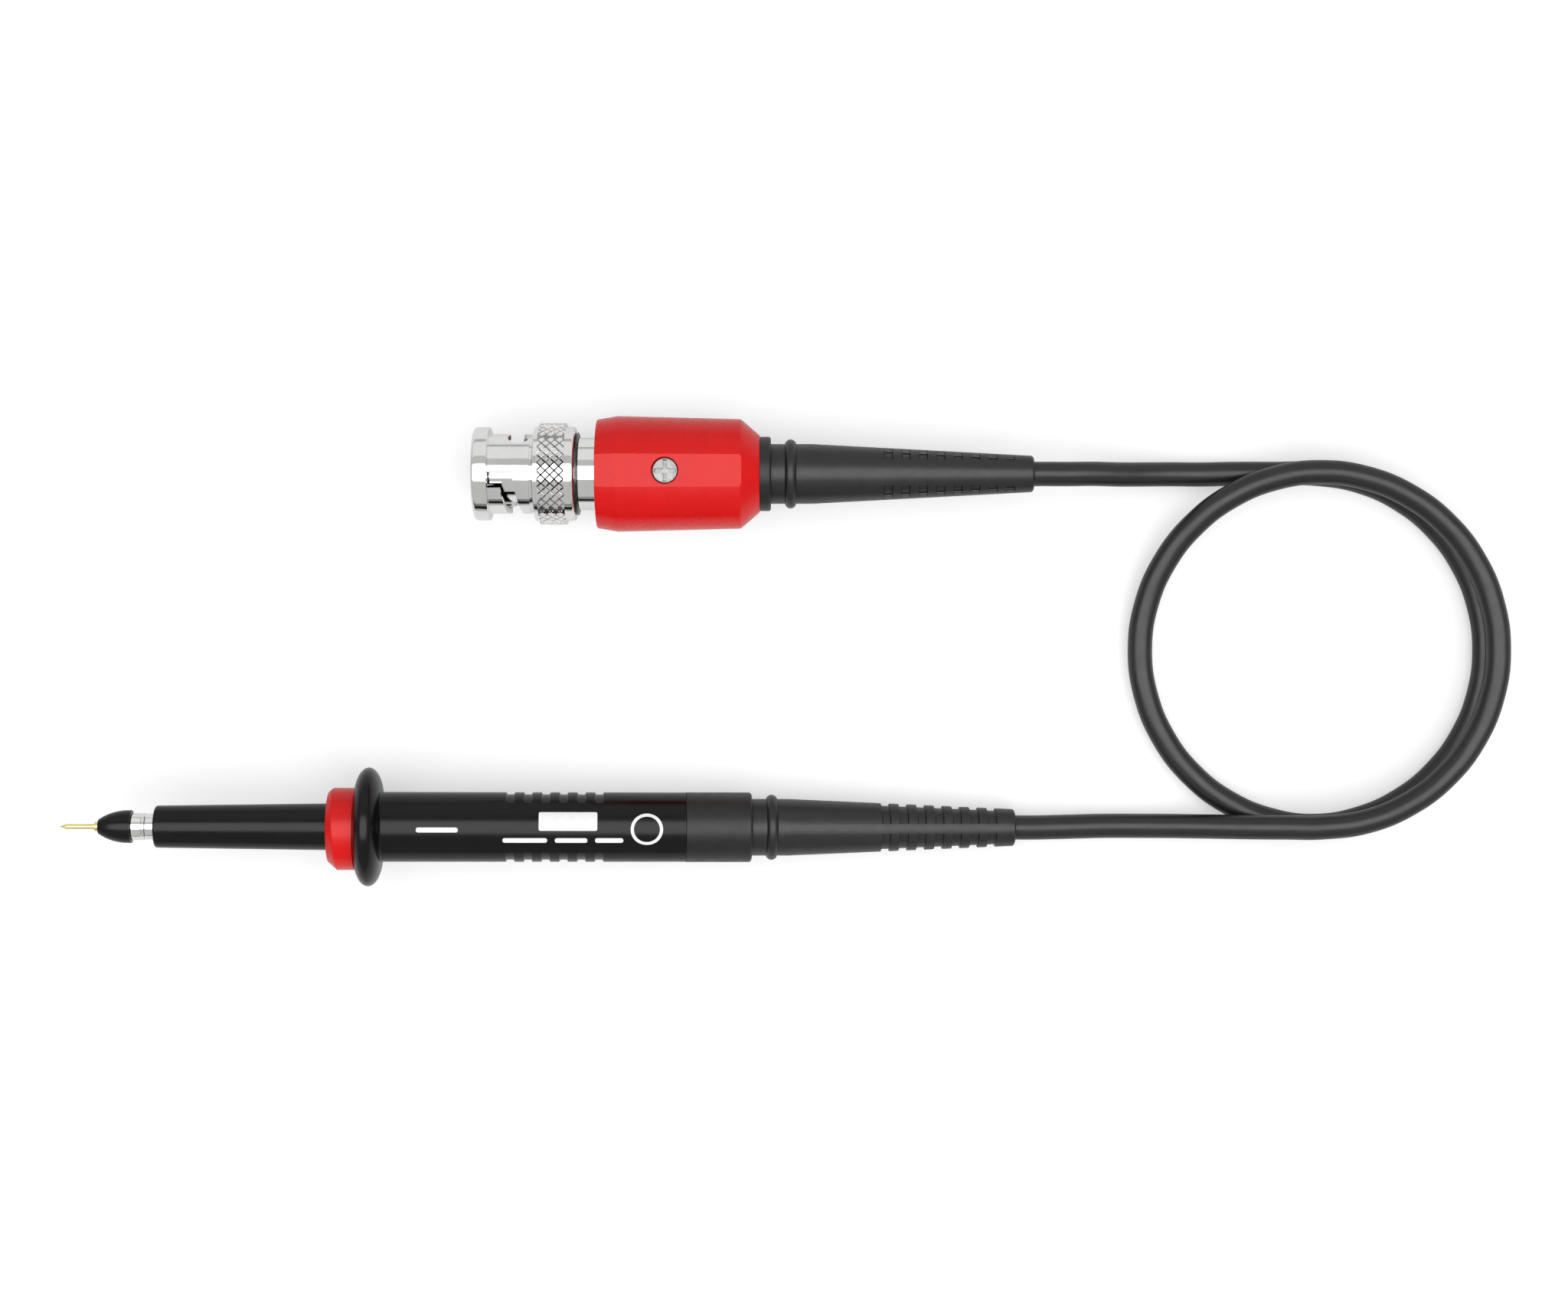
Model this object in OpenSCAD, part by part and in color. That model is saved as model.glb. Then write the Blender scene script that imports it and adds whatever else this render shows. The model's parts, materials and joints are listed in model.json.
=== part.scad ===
// Oscilloscope probe: a slim high-voltage probe, its coaxial cable and a compensation box with a
// bayonet plug. Millimetres. The probe and the box lie side by side along X on a table at z = 0,
// with their tip and plug towards -X. The origin is the middle of their footprint on the table.
// Stations along the probe are counted from the middle of its finger guard, those along the box
// from the front face of its red housing, both positive towards the cable.

/* [Layout] */
// Distance between the probe's axis and the box's axis
axis_gap = 50.6; // [45:0.1:60]
// Middle of the finger guard, along X
guard_x = -25.9; // [-30:0.1:-20]
// Front face of the red housing, along X
box_x = 6.8; // [4:0.1:10]
// Height of the box's axis above the table
box_height = 7.4; // [7.3:0.05:7.5]
// Dip of the probe towards its cable, in degrees
probe_tilt = 3.55; // [3.4:0.05:3.6]
// Turn of the probe in plan, in degrees: its tip lies this much towards the box
probe_yaw = 0.3; // [0:0.05:0.5]

/* [Probe] */
// Radius of the contact needle
needle_r = 0.365; // [0.3:0.005:0.38]
// Reach of the needle's point ahead of the finger guard
needle_reach = 43.57; // [42:0.01:45]
// Travel of the sprung needle
needle_travel = 1.2; // [0.8:0.1:1.5]
// Radius of the nose cone at its base
nose_r = 2.34; // [2.1:0.01:2.5]
// Front face of the nose cone
nose_front = -38.15; // [-38.3:0.05:-38]
// Rear face of the nose cone
nose_rear = -33.43; // [-33.6:0.01:-33.3]
// Radius of the reference ring behind the nose
ring_r = 1.93; // [1.85:0.01:1.94]
// Front face of the slim barrel
barrel_front = -30.15; // [-30.3:0.01:-29.9]
// Radius of the barrel at its front end
barrel_front_r = 3.0; // [2.8:0.01:3.2]
// Radius of the barrel where it enters the red collar
barrel_rear_r = 3.34; // [3.2:0.01:3.38]
// Smallest reach of the red collar from the axis
collar_near_r = 5.57; // [5.4:0.01:5.7]
// Largest reach of the red collar from the axis
collar_far_r = 6.17; // [6:0.01:6.3]
// Radius of the finger guard
guard_r = 8.5; // [8:0.1:9]
// Half the thickness of the finger guard at the handle
guard_half = 1.9; // [1.7:0.05:2.1]
// Radius of the handle
handle_r = 5.0; // [4.9:0.01:5.1]
// Joint between the handle and its rear sleeve
sleeve_start = 45.4; // [44:0.1:46]
// Rear end of the handle
sleeve_end = 54.87; // [54:0.01:56]
// Finger grooves on each side
groove_count = 6; // [3:1:8]
// Distance between finger grooves
groove_pitch = 2.54; // [2.3:0.01:2.8]
// Rear end of the probe's bend relief
probe_end = 93.06; // [92:0.01:94]

/* [Plug] */
// Outer radius of the knurled grip
knurl_r = 7.25; // [7.1:0.05:7.3]
// Radius of the nut's bore, which takes the socket's barrel
nut_bore_r = 4.95; // [4.9:0.01:5]
// Width of the two bayonet slots
slot_w = 2.3; // [2.1:0.1:2.5]
// Travel of the nut against its wave washer
nut_travel = 0.6; // [0.4:0.1:0.7]

/* [Compensation box] */
// Radius of the housing where it is widest
housing_r = 8.29; // [8.2:0.01:8.4]
// Length of the housing
housing_len = 23.3; // [23:0.1:23.6]
// Rear end of the box's bend relief
box_end = 62.6; // [62:0.1:63]
// Place of the trimmer screw along the housing
trimmer_at = 10.0; // [9.5:0.1:11]
// Radius of the trimmer screw
trimmer_r = 1.84; // [1.7:0.01:1.86]

/* [Cable] */
// Diameter of the coaxial cable
cable_d = 3.55; // [3.5:0.01:3.56]
// Radius of the cable's loop, along the middle of the cable
loop_r = 25.65; // [25:0.05:26.5]

/* [Hidden] */
$fn = 96;

cut = 0.5;               // how far a cutter runs past the surface that it cuts
fit = 0.02;              // gap between pieces that are pushed together
running = 0.05;          // radial clearance of a shaft in its bore

// Layout
probe_y = (guard_r - housing_r - axis_gap) / 2;
box_y = (guard_r - housing_r + axis_gap) / 2;
guard_rise = guard_r - handle_r;
guard_z = handle_r * cos(probe_tilt)
    + norm([guard_rise * cos(probe_tilt), guard_half * sin(probe_tilt)]);

// Probe, along its axis
needle_cone = 1.0;
needle_head = -37.95;    // front of the needle's head, behind the socket's lip
needle_head_len = 1.05;
needle_head_r = 0.43;
spring_short = 3.8;      // length of the needle's spring when it is fully pressed
socket_front = -38.65;
socket_lip = -38.0;      // inner face of the socket's lip
socket_wall = 0.6;       // thickness of the socket's closed end
socket_floor = needle_head + needle_head_len + spring_short + needle_travel;
socket_rear = socket_floor + socket_wall;
socket_r = 0.6;
socket_rim_r = 0.7;
socket_bore_r = 0.46;
shield_start = -32.4;
shield_r = 1.6;
collar_front = -5.7;
collar_face_r = 4.95;    // radius of the collar's front face, where its chamfer starts
collar_slope = 0.91;     // rise of that chamfer along the axis
handle_bore_r = 4.1;
barrel_rear = 6;
spigot_len = 3;
spigot_r = 4.5;
groove_first = 20.25;
groove_w = 1.1;
groove_depth = 0.31;
groove_span = 45;        // a groove fades out this many degrees from the handle's side
relief_neck_r = 4.09;
ferrule_start = 46.5;
ferrule_end = 52;

// Plug and box, along the box's axis
nut_front = -17.6;
nut_rear = -3.0;
ring_rear = -15.3;       // rear of the nut's front ring
knurl_front = -8.2;
knurl_rear = -4.35;
nut_sleeve_r = 5.68;
nut_collar_r = 6.74;
nut_front_ring_r = 6.69;
cavity_rear = -4.2;      // rear face of the hollow in the nut that holds the washers
cavity_r = 5.7;
washer_front = -4.5;     // front face of the thrust washer
spring_flat = 0.7;       // thickness of the wave washer when it is fully pressed
flange_rear = washer_front - spring_flat - nut_travel;
flange_front = flange_rear - 0.8;
cavity_front = flange_front - 0.3;
bearing_r = 4.55;
neck_front = -2.6;
neck_r = 5.17;
contact_front = -16;
contact_r = 4.05;
contact_bore_r = 3.5;
slot_angle = -12.3;      // where a lug enters, counted from the top towards -Y
slot_turn = 104.5;       // turn of the nut from entry to lock
slot_rear = -11.65;      // rear end of the slot's straight entry
ramp_front = -12.7;      // middle of the ramp where it leaves the entry
ramp_w = 2.1;
detent_at = -11.04;
detent_r = 1.6;
housing_front_r = 7.79;
housing_rear_r = 7.85;
housing_taper_end = 20.6;
housing_chamfer = 3.0;
flat_depth = 0.34;       // depth of the housing's top flat below the round
wall = 1.5;              // thickness of the housing's front wall
housing_bore_r = 6.4;
collar_end = 24.9;
box_neck_r = 4.29;
board_top = -0.3;
board_t = 1.0;
screw_top = 7.5;

// Cable and its prepared ends
jacket_r = cable_d / 2;
braid_r = 1.35;
dielectric_r = 0.9;
core_r = 0.28;
relief_bore_r = jacket_r + 0.005;

// Cable's free run. It leaves the probe, climbs over the lower turn, makes one and a half turns,
// and runs back along the table to the box. The loop's middle and all points are in the row frame.
loop_x = 111.1;
loop_y = 0.15;
table_z = 1.78;          // middle of the cable where it lies on the table
upper_z = 5.34;          // middle of the cable where it lies on the turn below
lower_pull = 1.05;       // how far the lower turn is drawn in on its far side
loop_step = 15;
descent = [105, 185];    // angles between which the upper turn comes down to the table
probe_exit = probe_point(probe_end);
box_exit = [box_x + box_end, box_y, box_height];
probe_run = [
    [75, -25.6, 2.25], [80, -25.5, 1.95], [85, -25.5, 1.9], [90, -25.5, 2.3], [94, -25.5, 3.1],
    [98, -25.5, 4.15], [102, -25.5, 5.0], [106, -25.5, 5.3]
];
box_run = [
    [105, 25.8, 1.78], [99, 25.8, 1.78], [94, 25.7, 1.9], [90, 25.7, 2.4], [86, 25.6, 3.5],
    [82, 25.5, 4.95], [78, 25.5, 6.3], [74, 25.4, 7.2]
];
route = concat(
    [probe_exit, probe_point(probe_end + 3)],
    probe_run,
    [for (a = [-90 : loop_step : 450]) loop_point(a)],
    box_run,
    [box_exit + [2, 0, 0], box_exit]
);

function probe_point(u) =
    let (plan = u * cos(probe_tilt))
    [guard_x + plan * cos(probe_yaw), probe_y - plan * sin(probe_yaw), guard_z - u * sin(probe_tilt)];

function smooth(t) = let (s = max(0, min(1, t))) s * s * (3 - 2 * s);

function loop_height(a) =
    upper_z + (table_z - upper_z) * smooth((a - descent[0]) / (descent[1] - descent[0]));

function loop_radius(a) = loop_r - (a > 270 ? lower_pull * sin(a - 270) : 0);

function loop_point(a) =
    [loop_x + loop_radius(a) * cos(a), loop_y + loop_radius(a) * sin(a), loop_height(a)];

// ---- Profiles -------------------------------------------------------------------------------

function unit(v) = v / norm(v);

// Points of the arc that rounds corner b between a and c
function arc_at(a, b, c, r, steps) =
    let (
        to_a = unit(a - b), to_c = unit(c - b),
        half = acos(max(-1, min(1, to_a * to_c))) / 2,
        centre = b + unit(to_a + to_c) * r / sin(half),
        from = b + to_a * r / tan(half) - centre,
        to = b + to_c * r / tan(half) - centre,
        start = atan2(from.y, from.x),
        swing = atan2(to.y, to.x) - start,
        turn = swing > 180 ? swing - 360 : swing < -180 ? swing + 360 : swing
    )
    [for (i = [0 : steps])
        centre + r * [cos(start + turn * i / steps), sin(start + turn * i / steps)]];

// Outline whose corners [x, y, r] are rounded to radius r
function rounded(corners, steps = 4) =
    let (n = len(corners))
    [for (i = [0 : n - 1])
        let (
            a = corners[(i + n - 1) % n], b = corners[i], c = corners[(i + 1) % n],
            r = len(b) > 2 ? b[2] : 0
        )
        each r > 0
            ? arc_at([a.x, a.y], [b.x, b.y], [c.x, c.y], r, steps)
            : [[b.x, b.y]]];

// Solid turned about the X axis; corners are [station, radius, rounding]
module turned(corners) {
    rotate([0, 90, 0])
        rotate_extrude()
            polygon([for (p = rounded(corners)) [p.y, p.x]]);
}

// Tube along X from one station to another
module tube(from, to, outer, inner) {
    turned([[from, inner], [from, outer], [to, outer], [to, inner]]);
}

module rod(from, to, r) {
    translate([from, 0, 0])
        rotate([0, 90, 0])
            cylinder(h = to - from, r = r);
}

// Box given by its lowest and highest corners
module block(low, high) {
    translate(low)
        cube(high - low);
}

module probe_place() {
    translate([guard_x, probe_y, guard_z])
        rotate([0, probe_tilt, -probe_yaw])
            children();
}

module box_place() {
    translate([box_x, box_y, box_height])
        children();
}

// Rubber ring of round section in its groove
module marker_ring(at, middle_r, section_r) {
    translate([at, 0, 0])
        rotate([0, 90, 0])
            rotate_extrude()
                translate([middle_r, 0])
                    circle(r = section_r, $fn = 32);
}

// Prepared end of the coaxial cable: core, dielectric, braid and jacket
module cable_end(core_at, dielectric_at, braid_at, jacket_at, end_at) {
    rod(core_at, dielectric_at, core_r);
    rod(dielectric_at, braid_at, dielectric_r);
    rod(braid_at, jacket_at, braid_r);
    rod(jacket_at, end_at, jacket_r - 0.005);
}

// Chip part of a surface-mounted board, with its middle at [x, y] on height z
module chip(x, y, z, size) {
    translate([x - size.x / 2, y - size.y / 2, z])
        cube(size);
}

// ---- Probe ----------------------------------------------------------------------------------

module contact_tip() {
    color("gold") probe_place() turned([
        [-needle_reach, 0],
        [needle_cone - needle_reach, needle_r],
        [needle_head, needle_r],
        [needle_head, needle_head_r],
        [needle_head + needle_head_len, needle_head_r],
        [needle_head + needle_head_len, 0]
    ]);
}

module tip_socket() {
    lip_r = needle_r + fit;
    color("gold") probe_place() turned([
        [socket_front, lip_r],
        [socket_front, socket_rim_r, 0.08],
        [nose_front - fit, socket_rim_r],
        [nose_front - fit, socket_r],
        [socket_rear, socket_r],
        [socket_rear, 0],
        [socket_floor, 0],
        [socket_floor, socket_bore_r],
        [socket_lip, socket_bore_r],
        [socket_lip, lip_r]
    ]);
}

// Coil spring between the needle's head and the socket's end
module tip_spring() {
    wire_r = 0.05;
    coil_r = 0.36;
    turns = 9;
    steps = 12;
    sides = 6;
    front = needle_head + needle_head_len + wire_r + fit;
    rear = socket_floor - wire_r - fit;
    count = turns * steps;
    points = [for (i = [0 : count], j = [0 : sides - 1])
        let (a = 360 * i / steps, b = 360 * j / sides, r = coil_r + wire_r * cos(b))
        [front + (rear - front) * i / count + wire_r * sin(b), r * cos(a), r * sin(a)]];
    color("silver") probe_place() polyhedron(points, tube_faces(count + 1, sides), convexity = 10);
}

// Faces of a tube of rings, each of the same number of sides, closed at both ends
function tube_faces(rings, sides) = concat(
    [[for (j = [0 : sides - 1]) j]],
    [for (i = [0 : rings - 2], j = [0 : sides - 1])
        let (a = i * sides + j, b = i * sides + (j + 1) % sides)
        each [[a, a + sides, b + sides], [a, b + sides, b]]],
    [[for (j = [sides - 1 : -1 : 0]) (rings - 1) * sides + j]]
);

module nose_cone() {
    tip_r = 1.02;
    round_end = -34.0;   // from here to the base the cone is straight
    depth = nose_r - tip_r;
    length = round_end - nose_front;
    big_r = (length * length + depth * depth) / (2 * depth);
    ogive = [for (i = [0 : 8])
        let (u = nose_front + length * i / 8, d = round_end - u)
        [u, nose_r - big_r + sqrt(big_r * big_r - d * d)]];
    color("dimgray") probe_place() turned(concat(
        [[nose_front, socket_r + fit]],
        ogive,
        [
            [nose_rear, nose_r, 0.05],
            [nose_rear, shield_r - fit],
            [shield_start - fit, shield_r - fit],
            [shield_start - fit, socket_r + fit]
        ]
    ));
}

module ground_ring() {
    rear_r = 1.84;       // the ring is a little slimmer behind its groove
    groove_at = -31.6;
    color("silver") probe_place() turned([
        [nose_rear + fit, shield_r],
        [nose_rear + fit, ring_r, 0.08],
        [groove_at - 0.14, ring_r, 0.05],
        [groove_at - 0.14, rear_r - 0.1],
        [groove_at + 0.14, rear_r - 0.1],
        [groove_at + 0.14, rear_r, 0.05],
        [barrel_front + 1.5, rear_r],
        [barrel_front + 1.5, shield_r]
    ]);
}

module shield_tube() {
    color("goldenrod") probe_place() tube(shield_start, barrel_rear, shield_r - 0.005, 1.4);
}

module insulator_sleeve() {
    color("white") probe_place() tube(-31, barrel_rear - 1, 1.4 - fit, 1.0);
}

// Resistors in series on one lead that runs from the socket to the board
module hv_resistors() {
    count = 3;
    body_len = 9;
    pitch = 11.5;
    first = -29.5;
    lead_r = 0.26;
    lead_end = 12;
    color("cadetblue") probe_place() {
        rod(socket_rear, lead_end, lead_r);
        for (i = [0 : count - 1]) {
            at = first + i * pitch;
            turned([
                [at, 0], [at, 0.97, 0.15], [at + 1.2, 0.97, 0.1], [at + 1.5, 0.88],
                [at + body_len - 1.5, 0.88], [at + body_len - 1.2, 0.97, 0.1],
                [at + body_len, 0.97, 0.15], [at + body_len, 0]
            ]);
        }
    }
}

module front_barrel() {
    seat_end = barrel_front + 1.6;
    color("black") probe_place() turned([
        [barrel_front, ring_r + fit],
        [barrel_front, barrel_front_r, 0.4],
        [collar_front - 0.5, barrel_rear_r],
        [barrel_rear, barrel_rear_r, 0.2],
        [barrel_rear, shield_r],
        [seat_end, shield_r],
        [seat_end, ring_r + fit]
    ]);
}

// Ring whose outside is off centre towards -Y, with a cone at its front edge
module insulating_collar() {
    outer_r = (collar_near_r + collar_far_r) / 2;
    offset_y = (collar_near_r - collar_far_r) / 2;
    rear = -guard_half;
    cone_r = collar_face_r + (rear + cut - collar_front) * collar_slope;
    color("red") probe_place() difference() {
        intersection() {
            translate([0, offset_y, 0])
                rod(collar_front, rear, outer_r);
            turned([
                [collar_front, 0], [collar_front, collar_face_r],
                [rear + cut, cone_r], [rear + cut, 0]
            ]);
        }
        rod(collar_front - cut, rear + cut, barrel_rear_r + fit);
    }
}

// Ring cutter for one finger groove: its middle is off the axis, so it bites one side only
module groove_cutter(at, side) {
    k = 1 - cos(groove_span);
    off = groove_depth * (handle_r - groove_depth / 2) / (handle_r * k - groove_depth);
    floor_r = handle_r - groove_depth + off;
    flare = 0.12;
    translate([at, -side * off, 0])
        turned([
            [-groove_w / 2 + flare, floor_r],
            [-groove_w / 2 - flare, floor_r + groove_depth + cut],
            [groove_w / 2 + flare, floor_r + groove_depth + cut],
            [groove_w / 2 - flare, floor_r]
        ]);
}

// Guard and grip in one. The guard's section is half an ellipse.
module handle() {
    guard = [for (a = [0 : 10 : 160])
        [-guard_half * cos(a), handle_r + guard_rise * sin(a)]];
    color("black") probe_place() difference() {
        turned(concat(
            [[-guard_half, barrel_rear_r + fit]],
            guard,
            [
                [guard_half, handle_r, 0.4],
                [sleeve_start, handle_r, 0.06],
                [sleeve_start, spigot_r],
                [sleeve_start + spigot_len, spigot_r, 0.2],
                [sleeve_start + spigot_len, handle_bore_r],
                [barrel_rear + 0.4, handle_bore_r],
                [barrel_rear + 0.4, barrel_rear_r + fit]
            ]
        ));
        for (i = [0 : groove_count - 1], side = [-1, 1])
            groove_cutter(groove_first + i * groove_pitch, side);
    }
}

module handle_shield() {
    color("silver") probe_place()
        tube(barrel_rear + 0.5, sleeve_start - 0.5, handle_bore_r - 0.1, handle_bore_r - 0.25);
}

module input_board() {
    color("darkgreen") probe_place()
        block([9, -3.2, board_top - board_t], [42.5, 3.2, board_top]);
}

module input_board_parts() {
    large = [3.2, 1.6, 0.6];
    small = [2.0, 1.25, 0.5];
    color("dimgray") probe_place() {
        for (i = [0 : 3])
            chip(15 + i * 5, 1.2, board_top, large);
        for (i = [0 : 4])
            chip(14.5 + i * 5, -1.4, board_top, small);
        for (i = [0 : 2])
            chip(18 + i * 7, 0, board_top - board_t - small.z, small);
    }
}

module rear_sleeve() {
    rear_wall = 1.5;
    color("dimgray") probe_place() turned([
        [sleeve_start + fit, spigot_r + fit],
        [sleeve_start + fit, handle_r + 0.02, 0.06],
        [sleeve_end, handle_r + 0.02, 0.45],
        [sleeve_end, 3.22],
        [sleeve_end - rear_wall, 3.22],
        [sleeve_end - rear_wall, handle_bore_r],
        [sleeve_start + spigot_len + fit, handle_bore_r],
        [sleeve_start + spigot_len + fit, spigot_r + fit]
    ]);
}

module probe_ferrule() {
    color("goldenrod") probe_place() tube(ferrule_start, ferrule_end - fit, 2.1, braid_r + 0.005);
}

module probe_cable_end() {
    color("dimgray") probe_place()
        cable_end(40, 44.5, 46, ferrule_end, probe_end);
}

module probe_strain_relief() {
    slots = 7;
    slot_pitch = 2.57;
    slot_len = 1.2;
    slot_depth = 0.36;
    first_rib = 74.81;
    spine = 1.56;        // width of the uncut strip along the top and along the underside
    taper_start = 60.15;
    end_r = 2.67;
    slope = (relief_neck_r - end_r) / (probe_end - taper_start);
    color("dimgray") probe_place() difference() {
        turned([
            [ferrule_end, relief_bore_r],
            [ferrule_end, 4.0, 0.1],
            [sleeve_end - 1.5 - fit, 4.0, 0.1],
            [sleeve_end - 1.5 - fit, 3.2],
            [sleeve_end + fit, 3.2],
            [sleeve_end + fit, relief_neck_r],
            [taper_start, relief_neck_r],
            [probe_end, end_r, 0.4],
            [probe_end, relief_bore_r]
        ]);
        marker_ring(57.77, 3.87, 0.85);
        for (i = [0 : slots - 1]) {
            rib = first_rib + i * slot_pitch;
            floor_r = relief_neck_r - (rib - taper_start) * slope - slot_depth;
            difference() {
                tube(rib - slot_len, rib, relief_neck_r + cut, floor_r);
                block([rib - slot_len - cut, -spine / 2, -5], [rib + cut, spine / 2, 5]);
            }
        }
    }
}

module probe_marker_ring() {
    color("dimgray") probe_place() marker_ring(57.77, 3.87, 0.83);
}

// ---- Plug -----------------------------------------------------------------------------------

// Radial hole through the nut's wall at a station and an angle from the top
module wall_hole(at, angle, r) {
    rotate([-angle, 0, 0])
        translate([at, 0, contact_r])
            cylinder(h = knurl_r - contact_r, r = r);
}

// One bayonet slot: straight entry, ramp and round detent. Overlapping round holes cut the ramp
module bayonet_slot() {
    steps = 18;
    entry_top = nut_sleeve_r - 0.1;
    rotate([-slot_angle, 0, 0]) {
        block([nut_front - cut, -slot_w / 2, contact_r], [ring_rear + cut, slot_w / 2, entry_top]);
        block([ring_rear + 0.3, -slot_w / 2, contact_r], [slot_rear, slot_w / 2, knurl_r]);
    }
    for (i = [0 : steps])
        wall_hole(
            ramp_front + (detent_at - ramp_front) * i / steps,
            slot_angle - slot_turn * i / steps,
            ramp_w / 2
        );
    wall_hole(detent_at, slot_angle - slot_turn, detent_r);
}

module coupling_nut() {
    color("silver") box_place() difference() {
        turned([
            [nut_front, nut_bore_r, 0.2],
            [nut_front, nut_front_ring_r, 0.6],
            [ring_rear, nut_front_ring_r, 0.15],
            [ring_rear, nut_sleeve_r],
            [-9.4, nut_sleeve_r],
            [-9.4, nut_sleeve_r - 0.25],
            [-9.15, nut_sleeve_r - 0.25],
            [-8.8, nut_collar_r, 0.1],
            [knurl_front - 0.15, nut_collar_r],
            [knurl_front + 0.1, knurl_r, 0.05],
            [knurl_rear - 0.1, knurl_r, 0.05],
            [knurl_rear + 0.15, nut_collar_r],
            [nut_rear, nut_collar_r, 0.45],
            [nut_rear, bearing_r + running],
            [cavity_rear, bearing_r + running],
            [cavity_rear, cavity_r],
            [cavity_front, cavity_r],
            [cavity_front, nut_bore_r]
        ]);
        for (half = [0, 180])
            rotate([half, 0, 0])
                bayonet_slot();
    }
}

module thrust_washer() {
    color("silver") box_place()
        tube(washer_front, cavity_rear - running, cavity_r - 0.15, bearing_r + running);
}

// Wave washer, drawn as a ring with round waves cut from both faces in turn
module spring_washer() {
    front = flange_rear + fit;
    rear = washer_front - fit;
    waves = 3;
    wave_r = 1.9;
    wave_depth = 0.8;
    color("lightsteelblue") box_place() difference() {
        tube(front, rear, cavity_r - 0.35, bearing_r + 0.1);
        for (i = [0 : waves - 1], face = [0, 1])
            rotate([(2 * i + face) * 180 / waves, 0, 0])
                translate([face == 0 ? front - wave_r + wave_depth : rear + wave_r - wave_depth, 0, 0])
                    cylinder(h = cavity_r + cut, r = wave_r);
    }
}

module retaining_ring() {
    color("dimgray") box_place() tube(nut_rear + 0.1, neck_front - fit, 5.9, bearing_r + 0.005);
}

module bnc_body() {
    color("silver") box_place() turned([
        [flange_rear + fit, 4.2 + 0.005],
        [flange_rear + fit, bearing_r],
        [neck_front, bearing_r],
        [neck_front, neck_r, 0.15],
        [-fit, neck_r],
        [-fit, 4.9],
        [wall + fit, 4.9],
        [wall + fit, 6.2],
        [wall + 1, 6.2, 0.1],
        [wall + 1, 4.2 + 0.005]
    ]);
}

// Outer contact: slit sleeve in front, then the collar, the flange and the shank
module outer_contact() {
    slits = 4;
    slit_w = 0.4;
    slit_len = 4.6;
    color("silver") box_place() difference() {
        turned([
            [contact_front, contact_bore_r],
            [contact_front, contact_r, 0.2],
            [-9.8, contact_r],
            [-9.8, nut_bore_r - 0.1, 0.1],
            [flange_front, nut_bore_r - 0.1],
            [flange_front, cavity_r - 0.3, 0.1],
            [flange_rear, cavity_r - 0.3],
            [flange_rear, 4.2],
            [wall + 1, 4.2],
            [wall + 1, contact_bore_r]
        ]);
        for (i = [0 : slits - 1])
            rotate([45 + 90 * i, 0, 0])
                block(
                    [contact_front - cut, -slit_w / 2, contact_bore_r - cut],
                    [contact_front + slit_len, slit_w / 2, contact_r + cut]
                );
    }
}

module bnc_gasket() {
    color("sienna") box_place() turned([
        [-10.6, contact_r + fit, 0.1], [-10.6, 4.65, 0.2], [-9.82, 4.65, 0.1], [-9.82, contact_r + fit]
    ]);
}

module bnc_insulator() {
    color("white") box_place() turned([
        [-11, 0.7], [-11, 2.4], [-10, 2.4], [-10, contact_bore_r - 0.01],
        [wall + 1, contact_bore_r - 0.01], [wall + 1, 0.7]
    ]);
}

module centre_pin() {
    color("gold") box_place() turned([
        [-15.4, 0], [-15.4, 0.675, 0.5], [wall + 1.1, 0.675],
        [wall + 1.1, 1.0, 0.1], [5.4, 1.0, 0.1], [5.4, 0]
    ]);
}

// ---- Compensation box -----------------------------------------------------------------------

module housing() {
    flat_slope = (housing_rear_r - housing_r) / (housing_taper_end - housing_chamfer);
    flat_end = housing_rear_r - flat_depth + (housing_len - housing_taper_end) * flat_slope;
    color("red") box_place() difference() {
        intersection() {
            turned([
                [0, neck_r - 0.25],
                [0, housing_front_r, 0.2],
                [housing_chamfer, housing_r],
                [housing_taper_end, housing_rear_r, 0.6],
                [housing_len, 5.51, 0.1],
                [housing_len, 4.7],
                [21.5, 4.7],
                [21.5, housing_bore_r],
                [wall, housing_bore_r],
                [wall, neck_r - 0.25]
            ]);
            rotate([90, 0, 0])
                translate([0, 0, -housing_r - cut])
                    linear_extrude(height = 2 * (housing_r + cut))
                        polygon([
                            [0, -box_height],
                            [0, housing_front_r - flat_depth],
                            [housing_chamfer, housing_r - flat_depth],
                            [housing_len, flat_end],
                            [housing_len, -box_height]
                        ]);
        }
        translate([trimmer_at, 0, 0])
            cylinder(h = housing_r + cut, r = trimmer_r + 0.06);
    }
}

module inner_shield() {
    color("silver") box_place() difference() {
        tube(wall + 1.1, 21.3, 6.3, 6.1);
        translate([trimmer_at, 0, 0])
            cylinder(h = housing_r, r = trimmer_r + 0.3);
    }
}

module compensation_board() {
    color("darkgreen") box_place()
        block([5.7, -5.4, board_top - board_t], [20.5, 5.4, board_top]);
}

module compensation_parts() {
    large = [3.2, 1.6, 0.6];
    small = [1.25, 2.0, 0.5];
    under = board_top - board_t;
    color("dimgray") box_place() {
        for (side = [-1, 1]) {
            chip(15.2, side * 2.8, board_top, large);
            chip(7.0, side * 3.4, board_top, small);
            chip(11, side * 2.5, under - large.z, large);
        }
        chip(17.5, 0, under - 1.4, [2.5, 2.0, 1.4]);
    }
}

module trimmer_base() {
    half = 2.3;
    top = 4.6;
    color("beige") box_place() difference() {
        block([trimmer_at - half, -half, board_top], [trimmer_at + half, half, top]);
        translate([trimmer_at, 0, 0.9])
            cylinder(h = top, r = 1.25);
    }
}

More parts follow.
